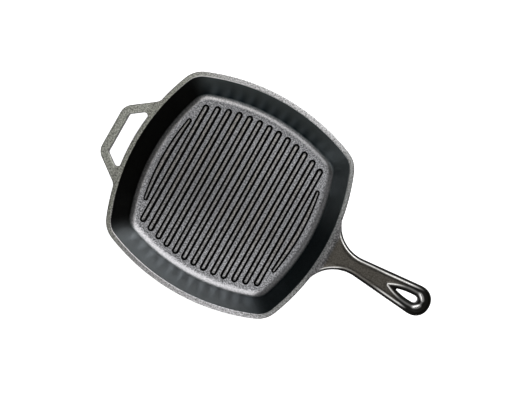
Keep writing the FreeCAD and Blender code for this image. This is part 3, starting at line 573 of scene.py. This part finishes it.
tree, inlet, size = shape_tree("end_rib", {**MOON, "Facing": 1})
swept, step, spot = sweep(tree, inlet, RIB_STEPS)
facing_x, facing_y, length = rib_ring(step)
straight_part = length * (size["Half Chord"] - size["Tip Half Width"])
arc_radius = size["Outer Radius"]
arc_drop = arc_radius - (arc_radius * arc_radius - straight_part * straight_part).math("SQRT")
chord_share = straight_part / size["Half Chord"]
hollow = size["Hollow"] * chord_share * chord_share
middle = size["Inner Side"] + (size["Thickness"] - arc_drop - hollow) / 2
half_width = (size["Thickness"] - arc_drop + hollow) / 2
half_width = half_width.math("SMOOTH_MAX", size["Tip Half Width"], MOON_TIP_BLEND * MM)
narrowed = 1 - MOON_TIP_NARROWING * chord_share * chord_share
crest_part = spot.part(0).math("MINIMUM", crest_half * MM)
crest_reach = half_width - narrowed * ((RIB_FOOT / 2 - crest_half) * MM)
out = crest_part / (crest_half * MM) * crest_reach + (spot.part(0) - crest_part) * narrowed
x = (middle + out * facing_x) * size["Facing"]
y = (straight_part + out * facing_y) * size["Facing"]
finished_shape(tree, swept, x, y, rib_height(spot, facing_y), rib_iron)
for node, facing in (("rib_handle_end", 1), ("rib_loop_end", -1)):
    rib_line = section_line(f"{node}_cast", rib_section, "crest", crest_share)
    end_rib = made_solid(rib_line, tree, {**metres(MOON), "Facing": facing})
    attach(end_rib, "root")
    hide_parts(node)

# The handle is iron, cast with the pan, and flares into its rim. Its top is dished between two rounded
# edges, which carry polish and a painted highlight, and a raised bead runs round the teardrop eye at its
# end.
# Painted shade darkens the outer bands of the edges, the sides of the dish, the eye's mouth and the end.
HANDLE_END = 284
HANDLE_END_RADIUS = 19.3
HANDLE_END_FULLNESS = 0.92
HANDLE_NECK = 11.9
HANDLE_FLARE = 46
HANDLE_THICKNESS = 11
HANDLE_RISE = 4
HANDLE_BEND_START = 146
HANDLE_BEND_RADIUS = 60
RIM_SIDE_RADIUS = 270
RIM_HALF_LENGTH = 141
FLARE_TUCK = 1
FLARE_THINNING = 8 / 25.5
HIDDEN_IN_RIM = 3
ROOT_UNDERCUT = 4.5
CAST_ON_LIFT = 0.05
LUG_EDGE = 0.9
GRIP_EDGE_REACH = 3.7
GRIP_EDGE_DEPTH = 2.7
END_EDGE_REACH = 3
END_EDGE_DEPTH = 1
UNDER_EDGE = 0.8
GRIP_UNDER_EDGE = 3.2
DISH_DEPTH = 1.1
DISH_SIDE = (4.4, 7)
DISH_LOST_AT_END = 0.6
EYE = {"tip": 238.3, "end": 268.1, "half_width": 4.25, "tip_radius": 1.1, "side_radius": 80}
EYE_BEAD = {"tip": 224.8, "end": 272, "half_width": 9.1, "tip_radius": 1, "side_radius": 70}
BEAD_HEIGHT = 1.2
BEAD_SPREAD = 1.7
EYE_MOUTH_DEPTH = 4
EYE_UNDER_ROUND = 1.2
OUTLINE_SPACING = 0.8
EYE_SPACING = 0.5

# Stretches along X in which the handle's form, finish, painted highlight or painted shade changes
ROOT_END = (137, 143)
GRIP_START = (138, 152)
UNDER_GRIP_START = (146, 170)
FLARE_END = (150, 175)
END_ROUND = (264, 280)
LUG_END = (143.5, 147.5)
PAINTED_EYE_SHADE_START = (222, 250)
PAINTED_SIDE_SHADE_START = (142, 150)
PAINTED_DISH_SHADE_START = (150, 160)
POLISH_HIGHLIGHT_START = (142, 148)
FAR_POLISH_HIGHLIGHT_END = (247, 270)
NEAR_POLISH_HIGHLIGHT_END = (246, 260)
EYE_ROUND = (262, 268)

# Polish and painted highlight: a value at the rim, then each change of it with the stretch along X that the
# change takes
FAR_POLISH_HIGHLIGHT = (1.4, (-0.82, 162, 186), (0.42, 205, 225))
NEAR_POLISH_HIGHLIGHT = (1.4, (-1.12, 157, 168), (-0.22, 165, 185), (0.75, 206, 230))
FAR_POLISH_HIGHLIGHT_INSET = (3.1, (0.2, 150, 168), (0.7, 190, 222))
NEAR_POLISH_HIGHLIGHT_INSET = (3.2, (0.8, 155, 172))
POLISH_HIGHLIGHT_SPREAD = (0.5, (0.25, 165, 185))
BEAD_POLISH_HIGHLIGHT = (0.75, (-0.6, 232, 248))
BEAD_POLISH_HIGHLIGHT_SPREAD = (0.7, (0.5, 236, 250))

# Polish and painted highlight at the round end of the eye, and how far in from an edge or from the bead the
# painted shade reaches
EYE_ROUND_POLISH_HIGHLIGHT = 1.2
EYE_ROUND_SPREAD = 0.3
EYE_ROUND_SIDES = (1.5, 4)
PAINTED_MOUTH_SHADE = (1, 2.2)
PAINTED_SIDE_SHADE = (2.4, 3.3)
PAINTED_DISH_SHADE = 0.8
PAINTED_DISH_SHADE_INSET = 6.4

# Grain and tones of the handle's iron, with the tone of its painted shade and of its polish and painted
# highlight
HANDLE_GRAIN_SIZE = 1.9
HANDLE_GRAIN_DEPTH = 0.14
HANDLE_SPECKS = (0.3, 0.72)
HANDLE_ROUGHNESS = 0.48
GRIP_METALLIC = 0.85
GRIP_TONES = ((0.037, 0.034, 0.028), (0.087, 0.08, 0.07))
LUG_TONES = ((0.05, 0.0495, 0.05), (0.19, 0.188, 0.19))
PAINTED_SHADE_TONE = (0.003, 0.003, 0.002)
POLISH_HIGHLIGHT_TONE = (0.85, 0.84, 0.82)

# Points of a plate's mesh: the height of staggered rows, and how far loose points keep from other runs
ROW_SHARE = 0.866
CLEAR_OF_RINGS = 0.4
CLEAR_OF_HOLES = 0.35
SAME_PLACE = 1e-5
TINY = 1e-6


def smooth(value, low, high):
    """Rises smoothly from 0 at one value to 1 at another."""
    share = np.clip((value - low) / (high - low), 0, 1)
    return share * share * (3 - 2 * share)


def changing(x, start, *changes):
    """A value along X, from what it is at the start and each change of it with its stretch."""
    value = np.full(len(x), float(start))
    for change, low, high in changes:
        value = value + change * smooth(x, low, high)
    return value


def even_run(points, spacing):
    """A closed run of points, spaced evenly."""
    points = np.array(points)
    closed = np.vstack([points, points[:1]])
    lengths = np.hypot(*np.diff(closed, axis=0).T)
    travel = np.concatenate([[0], np.cumsum(lengths)])
    steps = np.linspace(0, travel[-1], max(8, round(travel[-1] / spacing)), endpoint=False)
    return np.stack([np.interp(steps, travel, closed[:, axis]) for axis in (0, 1)], axis=1)


def moved_in(points, distance):
    """A closed run that turns anticlockwise, moved to its left by a distance."""
    ahead = np.roll(points, -1, axis=0) - np.roll(points, 1, axis=0)
    ahead /= np.hypot(*ahead.T)[:, None]
    return points + distance * np.stack([-ahead[:, 1], ahead[:, 0]], axis=1)


def off_run(places, run_points):
    """How far each place is from a closed run of points."""
    ways = np.roll(run_points, -1, axis=0) - run_points
    nearest = np.full(len(places), np.inf)
    for start, way in zip(run_points, ways):
        share = np.clip(((places - start) @ way) / (way @ way), 0, 1)
        nearest = np.minimum(nearest, np.hypot(*(places - start - share[:, None] * way).T))
    return nearest


def within(places, run_points):
    """Which places lie inside a closed run of points."""
    found = np.zeros(len(places), bool)
    ends = np.roll(run_points, -1, axis=0)
    for (x0, y0), (x1, y1) in zip(run_points, ends):
        if y0 == y1:
            continue
        spans = (places[:, 1] < y0) != (places[:, 1] < y1)
        crossing = x0 + (places[:, 1] - y0) / (y1 - y0) * (x1 - x0)
        found ^= spans & (places[:, 0] < crossing)
    return found


def lattice(low, high, spacing):
    """Points in staggered rows over a box."""
    rows = []
    for number, y in enumerate(np.arange(low[1], high[1], spacing * ROW_SHARE)):
        shift = spacing / 2 * (number % 2)
        xs = np.arange(low[0] + shift, high[0], spacing)
        rows.append(np.stack([xs, np.full(len(xs), y)], axis=1))
    return np.vstack(rows)


def cast_plate(name, outline, holes, rings, fill, top, under, material, marks):
    """A closed plate over an outline with holes, from the heights of its top and its underside.
    The outline turns anticlockwise and holes turn clockwise. Rings of points follow the outline
    inwards, and marks name what is stored at each point."""
    points = [outline] + holes
    edges = []
    start = 0
    for closed in points:
        count = len(closed)
        edges += [(start + index, start + (index + 1) % count) for index in range(count)]
        start += count
    boundary = start
    points += [moved_in(outline, distance) for distance in rings]
    free = fill[within(fill, outline)]
    free = free[off_run(free, outline) > rings[-1] + CLEAR_OF_RINGS]
    for hole in holes:
        free = free[~within(free, hole)]
        free = free[off_run(free, hole) > CLEAR_OF_HOLES]
    points = np.vstack(points + [free])
    flat = [Vector((x, y)) for x, y in points]
    placed, _, faces, origins, _, _ = delaunay_2d_cdt(flat, edges, [], 0, SAME_PLACE)
    order = np.array([origin[0] if origin else -1 for origin in origins])
    places = np.array([tuple(spot) for spot in placed])
    faces = np.array(faces)
    middles = places[faces].mean(axis=1)
    kept = within(middles, outline)
    for hole in holes:
        kept &= ~within(middles, hole)
    faces = faces[kept]
    index_of = {origin: index for index, origin in enumerate(order) if 0 <= origin < boundary}
    inset = off_run(places, outline)
    high = top(places, inset)
    low, drawn = under(places, inset)
    count = len(places)
    upper = np.column_stack([places, high])
    lower = np.column_stack([drawn, low])
    solid_faces = [tuple(face) for face in faces]
    solid_faces += [tuple(face[::-1] + count) for face in faces]
    for first, last in edges:
        a, b = index_of[first], index_of[last]
        solid_faces.append((b, a, a + count, b + count))
    mesh = bpy.data.meshes.new(name)
    mesh.from_pydata([tuple(spot * MM) for spot in np.vstack([upper, lower])], [], solid_faces)
    mesh.shade_smooth()
    for label, (values, under_value) in marks(places, inset).items():
        layer = mesh.attributes.new(label, "FLOAT", "POINT")
        layer.data.foreach_set("value", np.concatenate([values, np.full(count, under_value)]))
    mesh.materials.append(material)
    piece = bpy.data.objects.new(name, mesh)
    bpy.context.scene.collection.objects.link(piece)
    return piece


def teardrop(tip, end, half_width, tip_radius, side_radius):
    """A drop along X: a round end, a small round tip and gently bulging sides."""
    end_x = end - half_width
    tip_x = tip + tip_radius
    apart = end_x - tip_x
    end_side = side_radius - half_width
    tip_side = side_radius - tip_radius
    side_x = end_x - (end_side ** 2 - tip_side ** 2 + apart ** 2) / (2 * apart)
    side_y = math.sqrt(end_side ** 2 - (end_x - side_x) ** 2)
    end_turn = math.degrees(math.atan2(side_y, end_x - side_x))
    tip_turn = math.degrees(math.atan2(side_y, tip_x - side_x))
    half = arc_run((end_x, 0), half_width, 0, end_turn, steps=24)
    half += arc_run((side_x, -side_y), side_radius, end_turn, tip_turn, steps=40)
    half += arc_run((tip_x, 0), tip_radius, tip_turn, 180, steps=12)
    return half + [(x, -y) for x, y in half[-2:0:-1]]


rim_back = RIM_SIDE_RADIUS - RIM_HALF_LENGTH
flare_y = HANDLE_NECK + HANDLE_FLARE
flare_reach = RIM_SIDE_RADIUS - FLARE_TUCK + HANDLE_FLARE
flare_x = math.sqrt(flare_reach ** 2 - flare_y ** 2) - rim_back
end_x = HANDLE_END - HANDLE_END_RADIUS
side_turn = math.degrees(
    math.atan2(flare_y, flare_x - end_x)
    - math.acos((HANDLE_END_RADIUS + HANDLE_FLARE) / math.hypot(flare_x - end_x, flare_y))
)
flare_tip = math.degrees(math.atan2(-flare_y, -rim_back - flare_x)) + 360
end_arc = arc_run((0, 0), 1, 0, side_turn, steps=60)
half = [(end_x + HANDLE_END_RADIUS * math.copysign(abs(x) ** HANDLE_END_FULLNESS, x),
         HANDLE_END_RADIUS * y ** HANDLE_END_FULLNESS) for x, y in end_arc]
half += arc_run((flare_x, flare_y), HANDLE_FLARE, side_turn + 180, flare_tip, steps=60)
hidden_radius = RIM_SIDE_RADIUS - HIDDEN_IN_RIM
tip_angle = math.degrees(math.asin(half[-1][1] / hidden_radius))
half += arc_run((-rim_back, 0), hidden_radius, tip_angle, 0, steps=40)
handle_outline = even_run(half + [(x, -y) for x, y in half[-2:0:-1]], OUTLINE_SPACING)
eye = even_run(teardrop(**EYE), EYE_SPACING)
bead = even_run(teardrop(**EYE_BEAD), EYE_SPACING)


def handle_level(x):
    """The height of the handle's top, without its dish: level at the rim, then rising."""
    slope = math.tan(math.radians(HANDLE_RISE))
    bend = HANDLE_BEND_RADIUS * math.sin(math.radians(HANDLE_RISE))
    past = np.clip(x - HANDLE_BEND_START, 0, bend)
    curve = HANDLE_BEND_RADIUS - np.sqrt(HANDLE_BEND_RADIUS ** 2 - past ** 2)
    return PAN_HEIGHT + CAST_ON_LIFT + curve + np.clip(x - HANDLE_BEND_START - bend, 0, None) * slope


def rounded_drop(inset, reach, depth):
    """How far a rounded edge has dropped, this far in from the outline."""
    share = np.clip(1 - inset / reach, 0, 1)
    return depth * (1 - np.sqrt(1 - share ** 2))


def handle_top(places, inset):
    """Heights of the top: rounded edges, a dish between them, and a bead round the mouth of the eye."""
    x = places[:, 0]
    on_grip = smooth(x, *GRIP_START)
    at_end = smooth(x, *END_ROUND)
    reach = LUG_EDGE + GRIP_EDGE_REACH * on_grip + END_EDGE_REACH * at_end
    depth = LUG_EDGE + GRIP_EDGE_DEPTH * on_grip + END_EDGE_DEPTH * at_end
    drop = rounded_drop(inset, reach, depth)
    dish = DISH_DEPTH * on_grip * smooth(inset, *DISH_SIDE) * (1 - DISH_LOST_AT_END * at_end)
    off_eye = off_run(places, eye)
    off_bead = off_run(places, bead)
    share = off_eye / (off_eye + off_bead + TINY)
    mouth = EYE_MOUTH_DEPTH * (1 - np.sqrt(np.clip(1 - (1 - share) ** 2, 0, 1)))
    crest = BEAD_HEIGHT * np.exp(-((off_bead / BEAD_SPREAD) ** 2))
    lift = np.where(within(places, bead), BEAD_HEIGHT - mouth, crest)
    return handle_level(x) - drop - dish + lift


def handle_under(places, inset):
    """Heights of the underside, and its places: the root is drawn in under the rim."""
    x = places[:, 0]
    past_grip = np.clip(np.abs(places[:, 1]) - HANDLE_END_RADIUS, 0, None)
    thin = past_grip * FLARE_THINNING * (1 - smooth(x, *FLARE_END))
    low = handle_level(x) - HANDLE_THICKNESS + thin
    edge = UNDER_EDGE + GRIP_UNDER_EDGE * smooth(x, *UNDER_GRIP_START)
    low = low + rounded_drop(inset, edge, edge)
    low = low + rounded_drop(off_run(places, eye), EYE_UNDER_ROUND, EYE_UNDER_ROUND)
    drawn = places.copy()
    drawn[:, 0] -= ROOT_UNDERCUT * (1 - smooth(x, *ROOT_END))
    return low, drawn


def handle_marks(places, inset):
    """Where the edges and the bead are polished and carry a painted highlight, and where painted shade
    darkens the edges' outer bands, the dish's sides and the eye's mouth.
    """
    x, y = places.T
    far_polish_highlight = changing(x, *FAR_POLISH_HIGHLIGHT) * (1 - smooth(x, *FAR_POLISH_HIGHLIGHT_END))
    near_polish_highlight = changing(x, *NEAR_POLISH_HIGHLIGHT) * (1 - smooth(x, *NEAR_POLISH_HIGHLIGHT_END))
    edge_polish_highlight = np.where(y > 0, far_polish_highlight, near_polish_highlight) * smooth(x, *POLISH_HIGHLIGHT_START)
    edge_inset = np.where(y > 0, changing(x, *FAR_POLISH_HIGHLIGHT_INSET), changing(x, *NEAR_POLISH_HIGHLIGHT_INSET))
    edge = edge_polish_highlight * np.exp(-(((inset - edge_inset) / changing(x, *POLISH_HIGHLIGHT_SPREAD)) ** 2))
    at_round = smooth(x, *EYE_ROUND) * smooth(np.abs(y), *EYE_ROUND_SIDES)
    bead_polish_highlight = changing(x, *BEAD_POLISH_HIGHLIGHT) + EYE_ROUND_POLISH_HIGHLIGHT * at_round
    bead_spread = changing(x, *BEAD_POLISH_HIGHLIGHT_SPREAD) + EYE_ROUND_SPREAD * at_round
    off_bead = off_run(places, bead)
    bead_top = bead_polish_highlight * np.exp(-((off_bead / bead_spread) ** 2))
    mouth = within(places, bead) * smooth(off_bead, *PAINTED_MOUTH_SHADE)
    sides = (1 - smooth(inset, *PAINTED_SIDE_SHADE)) * smooth(x, *PAINTED_SIDE_SHADE_START)
    dish_edge = PAINTED_DISH_SHADE * np.exp(-((inset - PAINTED_DISH_SHADE_INSET) ** 2)) * smooth(x, *PAINTED_DISH_SHADE_START)
    painted_shade = np.clip(sides + dish_edge + mouth, 0, 1)
    return {"polish_and_highlight": (np.clip(edge + bead_top, 0, 1), 0), "painted_shade": (painted_shade, 1)}


handle_iron, place = new_iron("seasoned_handle_iron")
grain = sand_cast(handle_iron, place, HANDLE_GRAIN_SIZE, HANDLE_GRAIN_DEPTH)
polish_and_highlight = stored(handle_iron, "polish_and_highlight")
on_lug = 1 - place.part(0).between(*LUG_END)
at_eye = place.part(0).between(*PAINTED_EYE_SHADE_START)
# Painted shade blackens the end round the eye and the marked bands; polish and a painted highlight brighten
# the edges and the bead.
painted_dark = at_eye.math("MAXIMUM", stored(handle_iron, "painted_shade"))
grip_colour = grain.ramp(*HANDLE_SPECKS).tint(*GRIP_TONES)
lug_colour = grain.ramp(*WORN_SPECKS).tint(*LUG_TONES)
colour = on_lug.tint(grip_colour, lug_colour)
colour = painted_dark.tint(colour, PAINTED_SHADE_TONE)
colour = polish_and_highlight.tint(colour, POLISH_HIGHLIGHT_TONE)
metallic = (GRIP_METALLIC * (1 - painted_dark)).math("MAXIMUM", polish_and_highlight)
give(handle_iron, Base_Color=colour, Metallic=metallic, Specular_IOR_Level=0.06,
     Roughness=HANDLE_ROUGHNESS - 0.06 * on_lug - 0.14 * at_eye - 0.12 * polish_and_highlight + 0.1 * (grain - 0.5))

grip_fill = lattice((134, -50), (222, 50), spacing=1.6)
end_fill = lattice((222, -20), (286, 20), spacing=0.7)
handle_rings = (0.06, 0.2, 0.42, 0.75, 1.15, 1.6, 2.1, 2.7, 3.3, 4, 4.8, 5.6)
handle = cast_plate("handle", handle_outline, [eye[::-1]], handle_rings, np.vstack([grip_fill, end_fill]),
                    handle_top, handle_under, handle_iron, handle_marks)
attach(handle, "root")
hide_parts("handle_root", "handle_shank", "handle_eye")

# The helper loop is cast with the pan, opposite the handle: a flat bar on two leaning arms, flush with
# the rim and of the same grainy iron. Its inner edge is darkened with painted shade where the bar meets the
# gap.
LOOP_FAR = -171
LOOP_BAR_WIDTH = 11
LOOP_ARM_WIDTH = 10.8
LOOP_BAR_HALF = 23.2
LOOP_ARM_ANGLE = 36.5
LOOP_OUTER_RADIUS = 18
LOOP_INNER_RADIUS = 3.5
LOOP_FLARE = 20
LOOP_THROAT = 5.3
LOOP_THICKNESS = 8
LOOP_EDGE = 1.3
LOOP_ROOT = (-139, -136)
LOOP_UNDERCUT = 3.5
LOOP_SIDE_SHADE = (-0.9, -0.3)
BAR_SHADE = 0.6
BAR_SHADE_INSET = 0.9
BAR_SHADE_END = (22, 28)

arm = math.radians(LOOP_ARM_ANGLE)
arm_way = np.array([math.cos(arm), math.sin(arm)])
arm_out = np.array([-math.sin(arm), math.cos(arm)])
corner_turn = (math.pi / 2 - arm) / 2
outer_corner = np.array([LOOP_FAR, LOOP_BAR_HALF + LOOP_OUTER_RADIUS * math.tan(corner_turn)])
inner_line = outer_corner - arm_out * LOOP_ARM_WIDTH
loop_near = LOOP_FAR + LOOP_BAR_WIDTH
inner_corner = inner_line + arm_way * ((loop_near - inner_line[0]) / arm_way[0])
rim_centre = np.array([rim_back, 0])


def beside_arm(start, offset, reach):
    """The centre of an arc that touches an arm's edge and the rim."""
    anchor = start + arm_out * offset - rim_centre
    middle = anchor @ arm_way
    travel = -middle - math.sqrt(middle ** 2 - anchor @ anchor + reach ** 2)
    return anchor + arm_way * travel + rim_centre


def towards_rim(centre):
    """The angle in degrees from a centre beside an arm to the centre of the rim's side."""
    return math.degrees(math.atan2(-centre[1], rim_back - centre[0]))


outer_flare = beside_arm(outer_corner, LOOP_FLARE, RIM_SIDE_RADIUS - FLARE_TUCK + LOOP_FLARE)
throat = beside_arm(inner_corner, -LOOP_THROAT, RIM_SIDE_RADIUS - FLARE_TUCK + LOOP_THROAT)
outer_bend = outer_corner + LOOP_OUTER_RADIUS * np.array([1, -math.tan(corner_turn)])
inner_bend = inner_corner + LOOP_INNER_RADIUS * np.array([1, -math.tan(corner_turn)])
edge_turn = 90 + LOOP_ARM_ANGLE
outer_half = arc_run(outer_flare, LOOP_FLARE, towards_rim(outer_flare) + 360, edge_turn + 180, steps=24)
outer_half += arc_run(outer_bend, LOOP_OUTER_RADIUS, edge_turn, 180, steps=16)
inner_half = arc_run(inner_bend, LOOP_INNER_RADIUS, 180, edge_turn, steps=10)
inner_half += arc_run(throat, LOOP_THROAT, edge_turn, towards_rim(throat), steps=24)


def rim_angle(point):
    """The angle at which a point's height above the X axis is met on the arc hidden in the rim."""
    return 180 - math.degrees(math.asin(point[1] / hidden_radius))


hidden = arc_run(rim_centre, hidden_radius, rim_angle(inner_half[-1]), rim_angle(outer_half[0]), steps=14)
upper_half = inner_half + hidden + outer_half
lower_half = [(x, -y) for x, y in upper_half[::-1]]
loop_outline = even_run(upper_half + lower_half, OUTLINE_SPACING)


def loop_top(places, inset):
    return PAN_HEIGHT + CAST_ON_LIFT - rounded_drop(inset, LOOP_EDGE, LOOP_EDGE)


def loop_under(places, inset):
    drawn = places.copy()
    drawn[:, 0] += LOOP_UNDERCUT * smooth(places[:, 0], *LOOP_ROOT)
    return PAN_HEIGHT - LOOP_THICKNESS + rounded_drop(inset, LOOP_EDGE, LOOP_EDGE), drawn


def loop_marks(places, inset):
    x, y = places.T
    bar_edge = np.exp(-((x - loop_near + BAR_SHADE_INSET) ** 2))
    bar_shade = BAR_SHADE * bar_edge * (1 - smooth(np.abs(y), *BAR_SHADE_END))
    # The bar's painted shade and the painted shade of the edges' outer band are stored in the outside mark,
    # so they take the outside's dark tone.
    return {"outside": (np.maximum(smooth(-inset, *LOOP_SIDE_SHADE), bar_shade), 1)}


loop_fill = lattice((-172, -75), (-120, 75), spacing=1.8)
loop_rings = (0.06, 0.2, 0.42, 0.75, 1.05, 1.35)
loop = cast_plate("helper_loop", loop_outline, [], loop_rings, loop_fill, loop_top, loop_under, pan_iron,
                  loop_marks)
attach(loop, "root")
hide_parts("loop_bar", "loop_arm_left", "loop_arm_right")

# The studio: a plain white table that ends in a low white backdrop, broad soft light from above and
# from both sides of the pan, and a camera that looks straight down.
ROOM = 12
ROOM_SIDES = 64
TABLE_LEVEL = -0.0004
BACKDROP_HEIGHT = 3
TABLE_WHITE = (0.9, 0.9, 0.9, 1)
TABLE_ROUGHNESS = 0.9
TABLE_GLOW = 0.75
WORLD_WHITE = (1, 1, 1, 1)
WORLD_STRENGTH = 0.035
CAMERA_SENSOR = 36
CAMERA_LENS = 44.95
CAMERA_PLACE = (0.0311, 0.0107, 0.85)
CAMERA_TURN = 29.47

ring = arc_run((0, 0), ROOM, 0, 360, steps=ROOM_SIDES + 1)[:-1]
low_edge = [(x, y, TABLE_LEVEL) for x, y in ring]
high_edge = [(x, y, BACKDROP_HEIGHT) for x, y in ring]
pairs = [(index, (index + 1) % ROOM_SIDES) for index in range(ROOM_SIDES)]
backdrop = [(after, index, index + ROOM_SIDES, after + ROOM_SIDES) for index, after in pairs]
table = bpy.data.meshes.new("table")
table.from_pydata(low_edge + high_edge, [], [tuple(range(ROOM_SIDES))] + backdrop)
table_top = bpy.data.objects.new("table", table)
bpy.context.scene.collection.objects.link(table_top)
white = bpy.data.materials.new("white_table")
white.use_nodes = True
give(white, Base_Color=TABLE_WHITE, Roughness=TABLE_ROUGHNESS)
tree = white.node_tree
matt = Wire(tree.nodes["Principled BSDF"].outputs[0])
light_path = Wire.node(tree, "ShaderNodeLightPath", output="Is Camera Ray")
seen = light_path + light_path.other("Is Glossy Ray") + light_path.other("Is Transmission Ray")
glow = Wire.node(tree, "ShaderNodeEmission", {}, {"Strength": TABLE_GLOW})
glowing = Wire.node(tree, "ShaderNodeAddShader", {}, {0: matt, 1: glow})
shown = Wire.node(tree, "ShaderNodeMixShader", {}, {0: seen, 1: matt, 2: glowing})
tree.links.new(shown.socket, tree.nodes["Material Output"].inputs["Surface"])
table.materials.append(white)

world = bpy.data.worlds.new("studio")
world.use_nodes = True
background = world.node_tree.nodes["Background"]
background.inputs["Color"].default_value = WORLD_WHITE
background.inputs["Strength"].default_value = WORLD_STRENGTH
bpy.context.scene.world = world


def softbox(name, place, aim, width, height, power):
    """A broad lamp at a place, turned to the point that it lights. Sizes are in metres."""
    lamp = bpy.data.lights.new(name, "AREA")
    lamp.shape = "RECTANGLE"
    lamp.size = width
    lamp.size_y = height
    lamp.energy = power
    box = bpy.data.objects.new(name, lamp)
    box.location = place
    box.rotation_euler = (Vector(aim) - Vector(place)).to_track_quat("-Z", "Y").to_euler()
    bpy.context.scene.collection.objects.link(box)


softbox("overhead", (0.065, -0.13, 1.6), (0.065, -0.13, 0), width=1.37, height=0.66, power=2.85)
softbox("far_side", (0.08, 0.89, 0.87), (0.08, 0.09, -0.08), width=1, height=1.6, power=16.4)
softbox("near_side", (0.22, -0.76, 0.98), (0.22, 0, 0), width=1, height=0.94, power=6.2)
softbox("loop_side", (-1.3, 0, 0.9), (0, 0, 0), width=0.8, height=0.6, power=0.8)

camera = bpy.data.cameras.new("camera")
camera.sensor_fit = "HORIZONTAL"
camera.sensor_width = CAMERA_SENSOR
camera.lens = CAMERA_LENS
eye_point = bpy.data.objects.new("camera", camera)
eye_point.location = CAMERA_PLACE
eye_point.rotation_euler = (0, 0, math.radians(CAMERA_TURN))
bpy.context.scene.collection.objects.link(eye_point)
bpy.context.scene.camera = eye_point
bpy.context.scene.view_settings.view_transform = "Standard"
